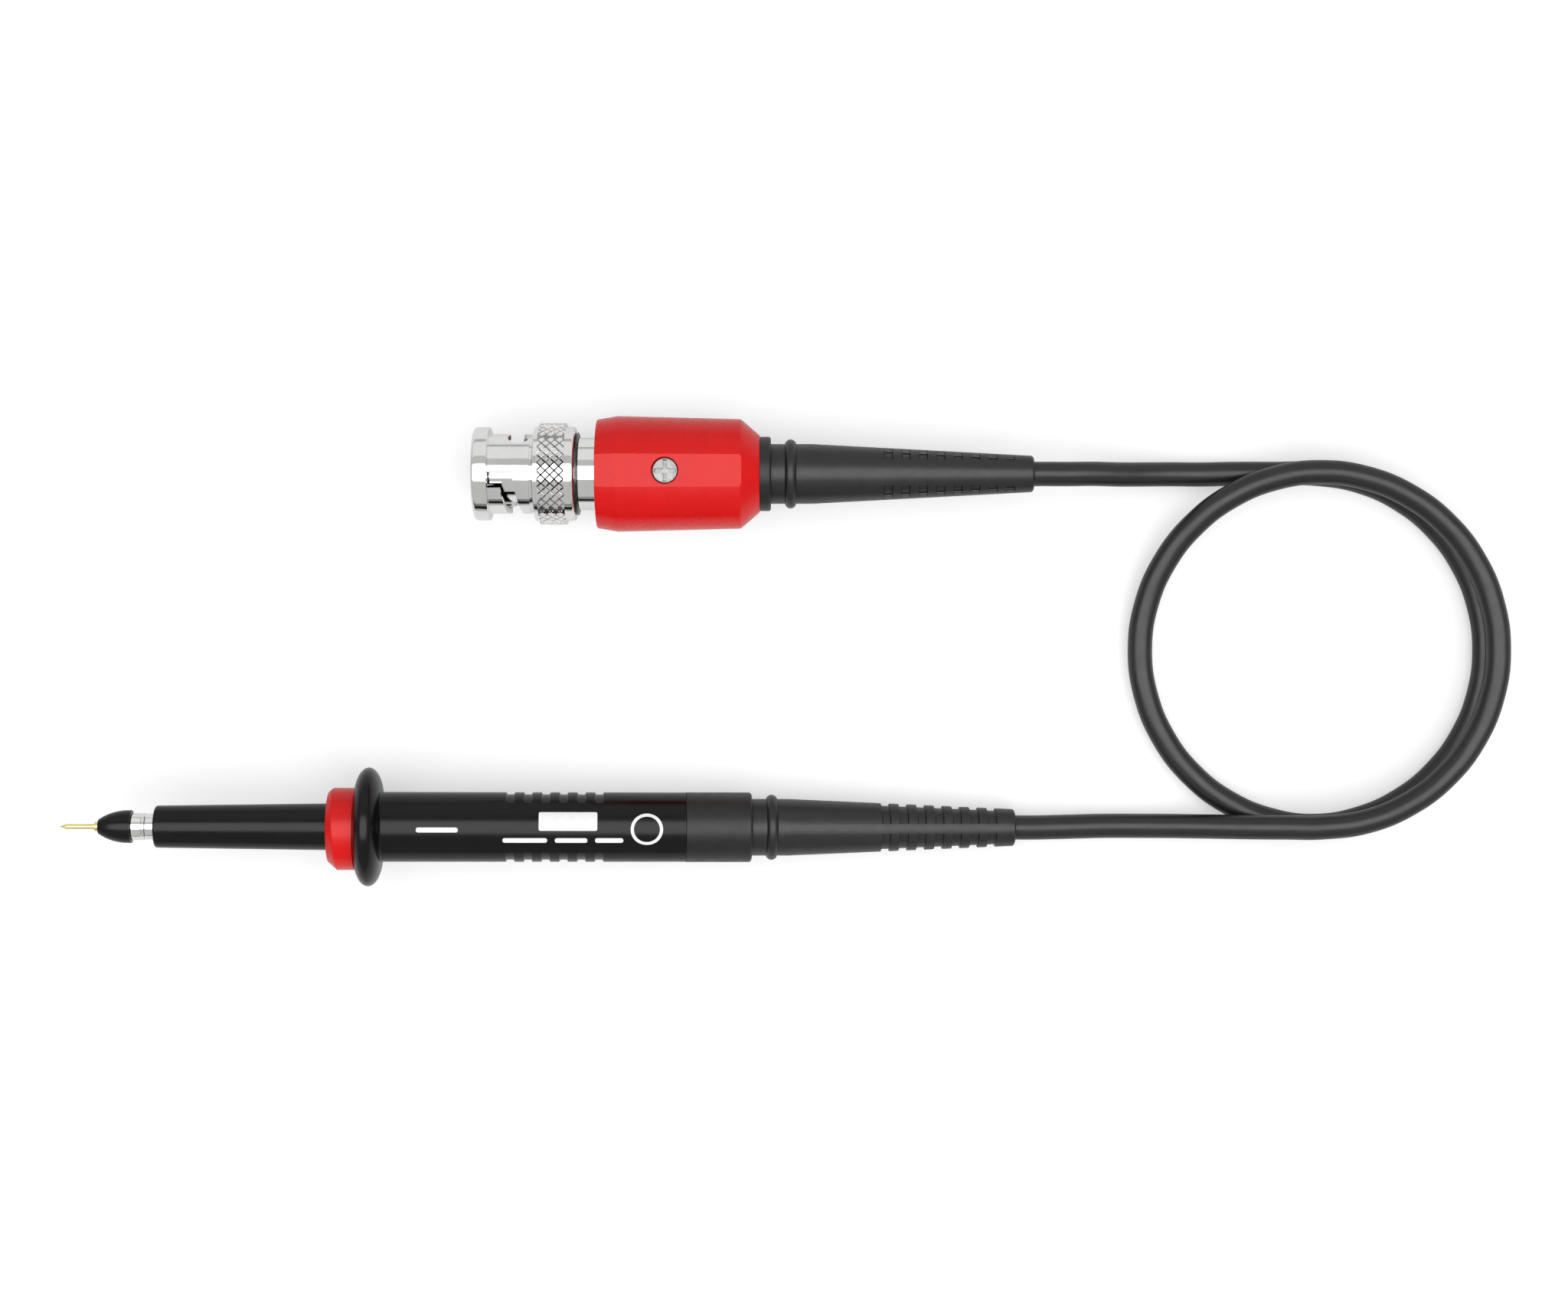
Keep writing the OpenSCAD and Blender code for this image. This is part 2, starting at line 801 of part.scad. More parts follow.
// Rotor screw of the trimmer, with a cross recess
module trimmer_screw() {
    arm_w = 0.56;
    arm_len = 3.3;
    recess = 0.7;
    color("silver") box_place() translate([trimmer_at, 0, 0]) difference() {
        rotate_extrude()
            polygon(rounded([
                [0, 1.2], [1.2, 1.2, 0.1], [1.2, 4.9], [trimmer_r, 4.9, 0.1],
                [trimmer_r, screw_top, 0.25], [0, screw_top]
            ]));
        for (turn = [0, 90])
            rotate([0, 0, turn])
                block([-arm_len / 2, -arm_w / 2, screw_top - recess], [arm_len / 2, arm_w / 2, 8]);
    }
}

module rear_collar() {
    color("black") box_place() turned([
        [21.7, 3.22],
        [21.7, 4.68, 0.1],
        [housing_len + fit, 4.68],
        [housing_len + fit, 5.33],
        [collar_end, 5.33, 0.35],
        [collar_end, 3.22]
    ]);
}

module box_ferrule() {
    color("goldenrod") box_place() tube(22, 26 - fit, 2.0, braid_r + 0.005);
}

module box_cable_end() {
    color("dimgray") box_place() cable_end(18.8, 20.9, 21.9, 26, box_end);
}

module box_strain_relief() {
    stations = 8;
    pitch = 2.5;
    pocket_len = 1.2;
    pocket_depth = 0.5;
    first = 42.3;        // rear face of the first pocket
    top_strip = 3.8;     // width of the uncut strips along the top and the underside
    side_strip = 2.1;    // width of the uncut strips along the two sides
    taper_start = 30.8;
    end_r = 2.6;
    slope = (box_neck_r - end_r) / (box_end - taper_start);
    color("dimgray") box_place() difference() {
        turned([
            [22.3, 2.02],
            [22.3, 3.2, 0.1],
            [collar_end + fit, 3.2],
            [collar_end + fit, box_neck_r],
            [taper_start, box_neck_r],
            [box_end, end_r, 0.5],
            [box_end, relief_bore_r],
            [26, relief_bore_r],
            [26, 2.02]
        ]);
        marker_ring(27.72, 4.12, 0.85);
        for (i = [0 : stations - 1]) {
            rear = first + i * pitch;
            floor_r = box_neck_r - (rear - taper_start) * slope - pocket_depth;
            difference() {
                tube(rear - pocket_len, rear, box_neck_r + cut, floor_r);
                block([rear - 2, -top_strip / 2, -6], [rear + cut, top_strip / 2, 6]);
                block([rear - 2, -6, -side_strip / 2], [rear + cut, 6, side_strip / 2]);
            }
        }
    }
}

module box_marker_ring() {
    color("dimgray") box_place() marker_ring(27.72, 4.12, 0.83);
}

// ---- Cable ----------------------------------------------------------------------------------

// Direction of the route at point i
function heading(i) =
    let (n = len(route) - 1)
    unit(route[min(i + 1, n)] - route[max(i - 1, 0)]);

// Tube of eight sides, with a flat on top, swept along the route
module cable() {
    sides = 8;
    points = [for (i = [0 : len(route) - 1], j = [0 : sides - 1])
        let (
            h = heading(i), across = unit(cross([0, 0, 1], h)), up = cross(h, across),
            a = 360 * (j + 0.5) / sides
        )
        route[i] + jacket_r * (cos(a) * across + sin(a) * up)];
    color("dimgray") polyhedron(points, tube_faces(len(route), sides), convexity = 10);
}

contact_tip();
tip_socket();
tip_spring();
nose_cone();
ground_ring();
shield_tube();
insulator_sleeve();
hv_resistors();
front_barrel();
insulating_collar();
handle();
handle_shield();
input_board();
input_board_parts();
rear_sleeve();
probe_ferrule();
probe_cable_end();
probe_strain_relief();
probe_marker_ring();
coupling_nut();
thrust_washer();
spring_washer();
retaining_ring();
bnc_body();
outer_contact();
bnc_gasket();
bnc_insulator();
centre_pin();
housing();
inner_shield();
compensation_board();
compensation_parts();
trimmer_base();
trimmer_screw();
rear_collar();
box_ferrule();
box_cable_end();
box_strain_relief();
box_marker_ring();
cable();
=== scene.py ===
import json
import math

import bmesh
import bpy
from mathutils import Matrix, Vector


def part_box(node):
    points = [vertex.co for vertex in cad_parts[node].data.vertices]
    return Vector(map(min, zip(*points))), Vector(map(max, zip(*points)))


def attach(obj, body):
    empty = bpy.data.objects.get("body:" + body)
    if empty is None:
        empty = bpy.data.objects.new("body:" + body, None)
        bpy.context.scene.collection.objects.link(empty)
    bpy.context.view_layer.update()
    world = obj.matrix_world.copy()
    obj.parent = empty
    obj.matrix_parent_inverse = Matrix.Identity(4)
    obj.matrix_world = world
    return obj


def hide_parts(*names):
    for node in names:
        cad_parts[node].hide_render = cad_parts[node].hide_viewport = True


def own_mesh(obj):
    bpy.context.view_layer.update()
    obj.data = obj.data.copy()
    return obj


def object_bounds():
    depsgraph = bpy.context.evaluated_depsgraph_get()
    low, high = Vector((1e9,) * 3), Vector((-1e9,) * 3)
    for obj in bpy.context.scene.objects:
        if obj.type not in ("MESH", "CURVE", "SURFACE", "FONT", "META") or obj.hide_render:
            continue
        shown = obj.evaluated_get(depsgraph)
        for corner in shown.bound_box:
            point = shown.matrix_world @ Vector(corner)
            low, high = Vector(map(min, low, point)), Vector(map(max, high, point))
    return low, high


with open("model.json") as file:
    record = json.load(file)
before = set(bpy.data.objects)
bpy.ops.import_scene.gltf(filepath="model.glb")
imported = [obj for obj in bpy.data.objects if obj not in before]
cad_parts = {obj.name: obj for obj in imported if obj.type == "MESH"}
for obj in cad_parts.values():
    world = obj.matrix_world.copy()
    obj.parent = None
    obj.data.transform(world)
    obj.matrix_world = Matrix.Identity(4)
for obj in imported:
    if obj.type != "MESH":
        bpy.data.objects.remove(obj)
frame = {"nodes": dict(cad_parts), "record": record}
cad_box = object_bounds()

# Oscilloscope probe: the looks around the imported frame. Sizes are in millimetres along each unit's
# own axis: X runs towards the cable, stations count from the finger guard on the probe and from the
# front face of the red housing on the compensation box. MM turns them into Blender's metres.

MM = 0.001
SHARP = math.radians(32)
FACET = math.radians(6)

# ---- Places, from the frame -----------------------------------------------------------------

MOUNTS = {m["name"]: m for m in frame["record"]["mounts"]}
NEEDLE_STATION = -40.6       # where the contact_needle mount is on the probe


def middle(node):
    low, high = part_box(node)
    return (low + high) / 2


def probe_place():
    """The probe's own axes: its X axis is the needle's, and its origin is inside the finger guard."""
    mount = MOUNTS["contact_needle"]
    along = -Vector(mount["axis"]).normalized()
    side = Vector((0, 0, 1)).cross(along).normalized()
    origin = Vector(mount["pos_m"]) - along * NEEDLE_STATION * MM
    turn = Matrix((along, side, along.cross(side))).transposed()
    return Matrix.Translation(origin) @ turn.to_4x4()


def box_place():
    """The box's own axes, level, with the origin on the front face of the housing."""
    axis = middle("coupling_nut")
    return Matrix.Translation((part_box("housing")[0].x, axis.y, axis.z))


PROBE = probe_place()
BOX = box_place()
ROOT = "probe_assembly"

# ---- Camera ---------------------------------------------------------------------------------

# It looks straight down. Its place is in metres, its lens and sensor in millimetres.
CAMERA_HEIGHT = 0.3827
CAMERA_X = 0.03358
CAMERA_Y = 0.000125
LENS = 60
SENSOR = 36

camera_data = bpy.data.cameras.new("camera")
camera_data.lens = LENS
camera_data.sensor_width = SENSOR
camera_data.clip_start = 0.01
camera = bpy.data.objects.new("camera", camera_data)
camera.location = (CAMERA_X, CAMERA_Y, CAMERA_HEIGHT)
bpy.context.scene.collection.objects.link(camera)
bpy.context.scene.camera = camera
bpy.context.scene.view_settings.view_transform = "Standard"

# ---- Materials ------------------------------------------------------------------------------


def linear(value):
    """Linear value of an sRGB channel from 0 to 255."""
    c = value / 255
    return c / 12.92 if c <= 0.04045 else ((c + 0.055) / 1.055) ** 2.4


def rgb(r, g, b):
    return (linear(r), linear(g), linear(b), 1)


class Finish:
    """A material with a Principled shader, whose detail is added by its methods."""

    def __init__(self, name, roughness, metallic=0.0, ior=1.46):
        self.material = bpy.data.materials.new(name)
        self.material.use_nodes = True
        self.nodes = self.material.node_tree.nodes
        self.links = self.material.node_tree.links
        self.shader = self.nodes["Principled BSDF"]
        self.shader.inputs["Roughness"].default_value = roughness
        self.shader.inputs["Metallic"].default_value = metallic
        self.shader.inputs["IOR"].default_value = ior
        self.place = self.nodes.new("ShaderNodeTexCoord").outputs["Object"]
        self.normal = None

    def noise(self, scale, detail=3, stretch=(1, 1, 1)):
        """Noise in the piece's own metres; scale is in features per millimetre."""
        mapping = self.nodes.new("ShaderNodeMapping")
        mapping.inputs["Scale"].default_value = [s * scale / MM for s in stretch]
        self.links.new(self.place, mapping.inputs["Vector"])
        noise = self.nodes.new("ShaderNodeTexNoise")
        noise.inputs["Scale"].default_value = 1
        noise.inputs["Detail"].default_value = detail
        self.links.new(mapping.outputs["Vector"], noise.inputs["Vector"])
        return noise.outputs["Fac"]

    def ranged(self, value, low, high, out_low, out_high):
        node = self.nodes.new("ShaderNodeMapRange")
        node.inputs["From Min"].default_value = low
        node.inputs["From Max"].default_value = high
        node.inputs["To Min"].default_value = out_low
        node.inputs["To Max"].default_value = out_high
        self.links.new(value, node.inputs["Value"])
        return node.outputs["Result"]

    def colours(self, first, second, scale, stretch=(1, 1, 1)):
        """Base colour that wanders between two close colours."""
        mix = self.nodes.new("ShaderNodeMix")
        mix.data_type = "RGBA"
        mix.inputs["A"].default_value = first
        mix.inputs["B"].default_value = second
        share = self.ranged(self.noise(scale, 4, stretch), 0.35, 0.65, 0, 1)
        self.links.new(share, mix.inputs["Factor"])
        self.links.new(mix.outputs["Result"], self.shader.inputs["Base Color"])
        return self

    def rough(self, low, high, scale, stretch=(1, 1, 1)):
        """Roughness that wanders between two values."""
        value = self.ranged(self.noise(scale, 3, stretch), 0.3, 0.7, low, high)
        self.links.new(value, self.shader.inputs["Roughness"])
        return self

    def bump(self, depth, scale, detail=2, stretch=(1, 1, 1)):
        """Relief of a given depth in millimetres. Several stack."""
        node = self.nodes.new("ShaderNodeBump")
        node.inputs["Strength"].default_value = 1
        node.inputs["Distance"].default_value = depth * MM
        self.links.new(self.noise(scale, detail, stretch), node.inputs["Height"])
        if self.normal:
            self.links.new(self.normal, node.inputs["Normal"])
        self.normal = node.outputs["Normal"]
        self.links.new(self.normal, self.shader.inputs["Normal"])
        return self

    def set(self, **values):
        for name, value in values.items():
            self.shader.inputs[name.replace("_", " ")].default_value = value
        return self


LATHE = (6, 0.35, 0.35)      # noise stretched round the X axis, as turning leaves it


def black_gloss():
    finish = Finish("black_gloss", 0.22, ior=1.31)
    finish.colours(rgb(9, 9, 9), rgb(12, 12, 12), 0.25)
    finish.rough(0.2, 0.25, 0.5)
    return finish.bump(0.003, 1.6).bump(0.001, 9).material


def red_plastic():
    finish = Finish("red_plastic", 0.26, ior=1.34)
    finish.colours(rgb(221, 10, 11), rgb(226, 12, 12), 0.2)
    finish.rough(0.23, 0.3, 0.6)
    return finish.bump(0.003, 1.5).bump(0.001, 8).material


def grey_plastic():
    finish = Finish("grey_plastic", 0.4, ior=1.4)
    finish.colours(rgb(26, 26, 26), rgb(31, 31, 30), 0.3)
    finish.rough(0.34, 0.46, 0.8)
    return finish.bump(0.005, 5, 4).material


def grey_rubber():
    finish = Finish("grey_rubber", 0.36, ior=1.46)
    finish.colours(rgb(23, 23, 23), rgb(28, 28, 28), 0.4)
    finish.rough(0.33, 0.42, 1.2)
    return finish.bump(0.005, 6, 4).bump(0.008, 0.8).material


def cable_jacket():
    finish = Finish("cable_jacket", 0.34, ior=1.46)
    finish.colours(rgb(23, 23, 23), rgb(28, 28, 28), 0.15)
    finish.rough(0.3, 0.38, 0.5)
    return finish.bump(0.002, 3, 3).bump(0.01, 0.25).material


def nickel():
    finish = Finish("nickel", 0.1, metallic=1)
    finish.colours(rgb(226, 226, 226), rgb(234, 233, 231), 0.35)
    finish.rough(0.03, 0.09, 1.4, LATHE)
    return finish.bump(0.0008, 2.2, 3, LATHE).bump(0.0015, 0.5).material


def satin_nickel():
    finish = Finish("satin_nickel", 0.5, metallic=1)
    finish.colours(rgb(136, 136, 135), rgb(148, 148, 146), 1.2)
    return finish.rough(0.42, 0.56, 2).bump(0.002, 3).material


def spring_steel():
    finish = Finish("spring_steel", 0.25, metallic=1)
    # Its dark base colour is painted shade: darker than bare steel, so that the retaining ring reads
    # as the shaded gap it sits in. The coil spring and the wave washer share it.
    finish.colours(rgb(62, 61, 61), rgb(84, 82, 80), 0.8)
    return finish.rough(0.2, 0.34, 2).bump(0.002, 4).material


def gilt():
    finish = Finish("gilt", 0.18, metallic=1)
    finish.colours(rgb(232, 208, 138), rgb(240, 220, 158), 0.8)
    finish.rough(0.12, 0.24, 2, LATHE)
    return finish.bump(0.001, 3, 3, LATHE).material


def brass_tube():
    finish = Finish("brass_tube", 0.3, metallic=1)
    finish.colours(rgb(196, 160, 84), rgb(210, 178, 104), 0.6)
    return finish.rough(0.24, 0.38, 1.5, LATHE).bump(0.002, 2, 3, LATHE).material


def white_ptfe():
    finish = Finish("white_ptfe", 0.42, ior=1.36)
    finish.colours(rgb(226, 226, 222), rgb(236, 235, 231), 0.5)
    finish.rough(0.36, 0.5, 1)
    return finish.bump(0.002, 3, 3, LATHE).material


def ceramic():
    finish = Finish("ceramic", 0.35)
    finish.colours(rgb(96, 128, 138), rgb(112, 142, 150), 0.9)
    return finish.rough(0.28, 0.42, 1.5).bump(0.004, 3).material


def board():
    finish = Finish("board", 0.35)
    finish.colours(rgb(20, 74, 44), rgb(30, 92, 54), 1.1, (1, 3, 1))
    return finish.rough(0.28, 0.42, 2).bump(0.01, 2.5, 5).material


def chip():
    finish = Finish("chip", 0.45)
    finish.colours(rgb(52, 50, 50), rgb(74, 70, 66), 1.2)
    return finish.rough(0.4, 0.55, 2).bump(0.004, 6).material


def silicone():
    finish = Finish("silicone", 0.5)
    finish.colours(rgb(150, 70, 40), rgb(166, 82, 48), 0.8)
    return finish.rough(0.45, 0.6, 1.5).bump(0.006, 3).material


def white_ink():
    finish = Finish("white_ink", 0.5)
    finish.colours(rgb(246, 246, 246), rgb(254, 254, 254), 2)
    return finish.rough(0.45, 0.6, 4).bump(0.002, 8).material


MATERIALS = {
    maker.__name__: maker()
    for maker in (
        black_gloss, red_plastic, grey_plastic, grey_rubber, cable_jacket, nickel, satin_nickel,
        spring_steel, gilt, brass_tube, white_ptfe, ceramic, board, chip, silicone, white_ink,
    )
}

# ---- Mesh helpers ---------------------------------------------------------------------------


def sharpen(bm, sharp):
    """Smooth shading, with the edges that turn by more than the sharp angle kept crisp."""
    bmesh.ops.recalc_face_normals(bm, faces=bm.faces)
    for face in bm.faces:
        face.smooth = True
    for edge in bm.edges:
        if len(edge.link_faces) == 2 and edge.calc_face_angle(0) > sharp:
            edge.smooth = False


def made_object(name, bm, place, material, sharp=SHARP):
    sharpen(bm, sharp)
    mesh = bpy.data.meshes.new(name)
    bm.to_mesh(mesh)
    bm.free()
    mesh.transform(Matrix.Scale(MM, 4))
    mesh.materials.append(MATERIALS[material])
    obj = bpy.data.objects.new(name, mesh)
    bpy.context.scene.collection.objects.link(obj)
    obj.matrix_world = place
    return obj


def piece(name, bm, place, material, body=ROOT, nodes=(), cutters=(), sharp=SHARP):
    """A finished piece: in place, cut, riding on its body, and standing for CAD nodes."""
    obj = made_object(name, bm, place, material, sharp)
    for cutter in cutters:
        cut(obj, cutter, place, sharp)
    normals = obj.modifiers.new("normals", "WEIGHTED_NORMAL")
    normals.keep_sharp = True
    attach(obj, body)
    if nodes:
        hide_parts(*nodes)
    return obj


def cut(obj, cutter_bm, place, sharp):
    """Takes a cutter's solid out of obj and leaves a clean mesh."""
    cutter = made_object("cutter", cutter_bm, place, "nickel")
    boolean = obj.modifiers.new("cut", "BOOLEAN")
    boolean.operation = "DIFFERENCE"
    boolean.solver = "EXACT"
    boolean.object = cutter
    graph = bpy.context.evaluated_depsgraph_get()
    mesh = bpy.data.meshes.new_from_object(obj.evaluated_get(graph))
    obj.modifiers.clear()
    bm = bmesh.new()
    bm.from_mesh(mesh)
    sharpen(bm, sharp)
    bm.to_mesh(obj.data)
    bm.free()
    bpy.data.meshes.remove(mesh)
    bpy.data.objects.remove(cutter)


ARC_STEPS = 7                # of each rounded corner
SIDES = 144                  # of each round surface


def arc_at(a, b, c, radius):
    """Points that round corner b, between a and c."""
    to_a, to_c = (a - b).normalized(), (c - b).normalized()
    half = to_a.angle(to_c) / 2
    centre = b + (to_a + to_c).normalized() * radius / math.sin(half)
    start = b + to_a * radius / math.tan(half) - centre
    end = b + to_c * radius / math.tan(half) - centre
    swing = start.angle_signed(end)
    first = math.atan2(start.y, start.x)
    return [
        centre + radius * Vector((math.cos(t), math.sin(t)))
        for t in (first - swing * i / ARC_STEPS for i in range(ARC_STEPS + 1))
    ]


def rounded(corners):
    """Closed outline [(station, radius, share)] of corners (station, radius[, rounding[, share]])."""
    outline = []
    for i, corner in enumerate(corners):
        a, b, c = (Vector(corners[(i + k) % len(corners)][:2]) for k in (-1, 0, 1))
        rounding = corner[2] if len(corner) > 2 else 0
        share = corner[3] if len(corner) > 3 else 0
        points = arc_at(a, b, c, rounding) if rounding else [b]
        outline += [(p.x, p.y, share) for p in points]
    return outline


def even_columns(radius):
    """Columns of a plain round surface, as (angle from the top, share)."""
    return [(2 * math.pi * i / SIDES, 0) for i in range(SIDES)]


def turned(corners, columns=even_columns, depth=0, shape=None):
    """Solid turned about the X axis. Where both an outline point and a column have a share, the
    surface is sunk by depth times both; shape(station, radius, angle) may change the radius."""
    bm = bmesh.new()
    rings = []
    for x, r, share in rounded(corners):
        if r < 1e-6:
            rings.append([bm.verts.new((x, 0, 0))])
            continue
        ring = []
        for angle, column_share in columns(r):
            radius = r - depth * share * column_share
            if shape:
                radius = shape(x, radius, angle)
            ring.append(bm.verts.new((x, radius * math.sin(angle), radius * math.cos(angle))))
        rings.append(ring)
    for a, b in zip(rings, rings[1:] + rings[:1]):
        if len(a) > 1 or len(b) > 1:
            join_rings(bm, a, b)
    return bm


def join_rings(bm, a, b):
    count = max(len(a), len(b))
    for i in range(count):
        k = (i + 1) % count
        if len(a) == 1:
            bm.faces.new((a[0], b[k], b[i]))
        elif len(b) == 1:
            bm.faces.new((a[i], a[k], b[0]))
        else:
            bm.faces.new((a[i], a[k], b[k], b[i]))


def swept(sections):
    """Closed solid through a list of sections, each a list of the same number of points."""
    bm = bmesh.new()
    rings = [[bm.verts.new(p) for p in section] for section in sections]
    for a, b in zip(rings, rings[1:]):
        join_rings(bm, a, b)
    bm.faces.new(rings[0])
    bm.faces.new(rings[-1])
    return bm


def block(low, high):
    (x0, y0, z0), (x1, y1, z1) = low, high
    return swept([[(x, y0, z0), (x, y1, z0), (x, y1, z1), (x, y0, z1)] for x in (x0, x1)])


def on_wall(x, radius, angle):
    """Point of a cylinder about the X axis, at an angle from the top towards +Y."""
    return (x, radius * math.sin(angle), radius * math.cos(angle))


def radial_hole(x, angle, radius, low, high, flare=0):
    """Round cutter that stands on the X axis at an angle from the top."""
    steps = 64
    out = Vector((0, math.sin(angle), math.cos(angle)))
    side = Vector((0, math.cos(angle), -math.sin(angle)))
    levels = [(low, radius), (high, radius)]
    if flare:
        levels = [(low, radius), (high - flare, radius), (high + flare, radius + 2 * flare)]
    return swept([
        [
            Vector((x + r * math.cos(t), 0, 0)) + side * r * math.sin(t) + out * level
            for t in (2 * math.pi * i / steps for i in range(steps))
        ]
        for level, r in levels
    ])


def ring_seat(at, centre_r, section_r, surface_r):
    """Groove in a surface for a ring of round section: outline points, front to rear."""
    edge = math.asin((surface_r - centre_r) / section_r)
    steps = 12
    return [
        (at - section_r * math.cos(t), centre_r - section_r * math.sin(t))
        for t in (-edge + (math.pi + 2 * edge) * i / steps for i in range(steps + 1))
    ]


def round_ring(name, at, centre_r, section_r, place, nodes):
    """Rubber ring of round section, with the fine parting line that its mould leaves."""
    steps = 40
    line = 0.012
    points = []
    for i in range(steps):
        t = 2 * math.pi * i / steps
        r = section_r + (line if i in (steps // 4, 3 * steps // 4) else 0)
        points.append((at - r * math.cos(t), centre_r + r * math.sin(t)))
    return piece(name, turned(points), place, "grey_rubber", nodes=nodes)


# ---- Cable ----------------------------------------------------------------------------------

# The ends are stations on the probe and on the box; everything else is a place in the frame.
CABLE_D = 3.55
PROBE_END = 93.06
BOX_END = 62.6
LOOP_X = 111.1
LOOP_Y = 0.15
LOOP_R = 25.65
TABLE_Z = 1.78               # height of the cable's centre on the table
UPPER_Z = 5.34               # and on top of its own lower turn
LOWER_PULL = 1.05            # how far the lower turn runs inside the circle
LOOP_STEP = 15               # degrees from one knot to the next
DESCENT = (105, 185)         # degrees at which it starts and ends coming down
PROBE_RUN = [
    (75, -25.6, 2.25), (80, -25.5, 1.95), (85, -25.5, 1.9), (90, -25.5, 2.3), (94, -25.5, 3.1),
    (98, -25.5, 4.15), (102, -25.5, 5.0), (106, -25.5, 5.3),
]
BOX_RUN = [
    (105, 25.8, 1.78), (99, 25.8, 1.78), (94, 25.7, 1.9), (90, 25.7, 2.4), (86, 25.6, 3.5),
    (82, 25.5, 4.95), (78, 25.5, 6.3), (74, 25.4, 7.2),
]


def smooth(t):
    s = max(0, min(1, t))
    return s * s * (3 - 2 * s)


def loop_point(degrees):
    """Point of the cable's loop: it lies on the lower turn first, and then comes down."""
    a = math.radians(degrees)
    pull = LOWER_PULL * math.sin(math.radians(degrees - 270)) if degrees > 270 else 0
    drop = smooth((degrees - DESCENT[0]) / (DESCENT[1] - DESCENT[0]))
    radius = LOOP_R - pull
    return Vector((
        LOOP_X + radius * math.cos(a),
        LOOP_Y + radius * math.sin(a),
        UPPER_Z + (TABLE_Z - UPPER_Z) * drop,
    )) * MM


def cable_route():
    probe_exit = PROBE @ Vector((PROBE_END * MM, 0, 0))
    box_exit = BOX @ Vector((BOX_END * MM, 0, 0))
    route = [probe_exit, PROBE @ Vector(((PROBE_END + 3) * MM, 0, 0))]
    route += [Vector(p) * MM for p in PROBE_RUN]
    route += [loop_point(a) for a in range(-90, 451, LOOP_STEP)]
    route += [Vector(p) * MM for p in BOX_RUN]
    return route + [box_exit + Vector((2 * MM, 0, 0)), box_exit]


def cable():
    route = cable_route()
    curve = bpy.data.curves.new("free_cable", "CURVE")
    curve.dimensions = "3D"
    curve.bevel_depth = CABLE_D / 2 * MM
    curve.bevel_resolution = 8
    curve.resolution_u = 10
    curve.use_fill_caps = True
    spline = curve.splines.new("BEZIER")
    spline.bezier_points.add(len(route) - 1)
    for knot, point in zip(spline.bezier_points, route):
        knot.co = point
        knot.handle_left_type = knot.handle_right_type = "AUTO"
    curve.materials.append(MATERIALS["cable_jacket"])
    obj = bpy.data.objects.new("free_cable", curve)
    bpy.context.scene.collection.objects.link(obj)
    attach(obj, ROOT)
    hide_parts("cable")


cable()

# ---- Probe ----------------------------------------------------------------------------------

HANDLE_R = 5.0
BARREL_REAR_R = 3.34
GUARD_R = 8.5
GUARD_HALF = 1.9
SLEEVE_START = 45.4
SLEEVE_END = 54.87
RELIEF_R = 4.09
RING_R = 0.83                # section of the rubber rings
SEAT_R = 0.84                # section of the grooves that they lie in
PROBE_RING = (57.77, 3.87)   # station and radius of the ring's centre line


def needle():
    needle_r = 0.365
    bm = turned([
        (-43.57, 0), (-43.52, 0.035), (-42.57, needle_r, 0.2), (-37.95, needle_r),
        (-37.95, 0.43), (-36.9, 0.43, 0.05), (-36.9, 0),
    ])
    piece("needle", bm, PROBE, "gilt", body="tip", nodes=["contact_tip"])


def socket():
    bm = turned([
        (-38.65, 0.385, 0.03), (-38.65, 0.7, 0.08), (-38.17, 0.7, 0.03), (-38.17, 0.6),
        (-31.3, 0.6, 0.05), (-31.3, 0), (-31.9, 0), (-31.9, 0.46), (-38.0, 0.46), (-38.0, 0.385),
    ])
    piece("needle_socket", bm, PROBE, "gilt", nodes=["tip_socket"])


def nose():
    front, round_end, base_r, tip_r = -38.15, -34.0, 2.34, 1.02
    length, rise = round_end - front, base_r - tip_r
    big_r = (length ** 2 + rise ** 2) / (2 * rise)
    steps = 20
    ogive = []
    for i in range(1, steps + 1):
        u = front + length * i / steps
        ogive.append((u, base_r - big_r + math.sqrt(big_r ** 2 - (round_end - u) ** 2)))
    bm = turned(
        [(front, 0.62), (front, tip_r, 0.1)] + ogive
        + [(-33.43, base_r, 0.04), (-33.43, 1.58), (-32.42, 1.58), (-32.42, 0.62)]
    )
    piece("nose", bm, PROBE, "black_gloss", nodes=["nose_cone"])


def reference_ring():
    bm = turned([
        (-33.41, 1.6), (-33.41, 1.9, 0.08), (-32.95, 1.93, 0.4), (-31.98, 1.91, 0.1),
        (-31.86, 1.78, 0.08), (-31.74, 1.92, 0.08), (-31.5, 1.92, 0.08), (-31.38, 1.78, 0.08),
        (-31.24, 1.84, 0.1), (-28.65, 1.84), (-28.65, 1.6),
    ])
    piece("reference_ring", bm, PROBE, "nickel", nodes=["ground_ring"])


def barrel():
    bm = turned([
        (-30.15, 1.95, 0.1), (-30.15, 3.0, 0.4), (-6.2, BARREL_REAR_R), (6, BARREL_REAR_R, 0.2),
        (6, 1.6), (-28.55, 1.6), (-28.55, 1.95),
    ])
    piece("barrel", bm, PROBE, "black_gloss", nodes=["front_barrel"])


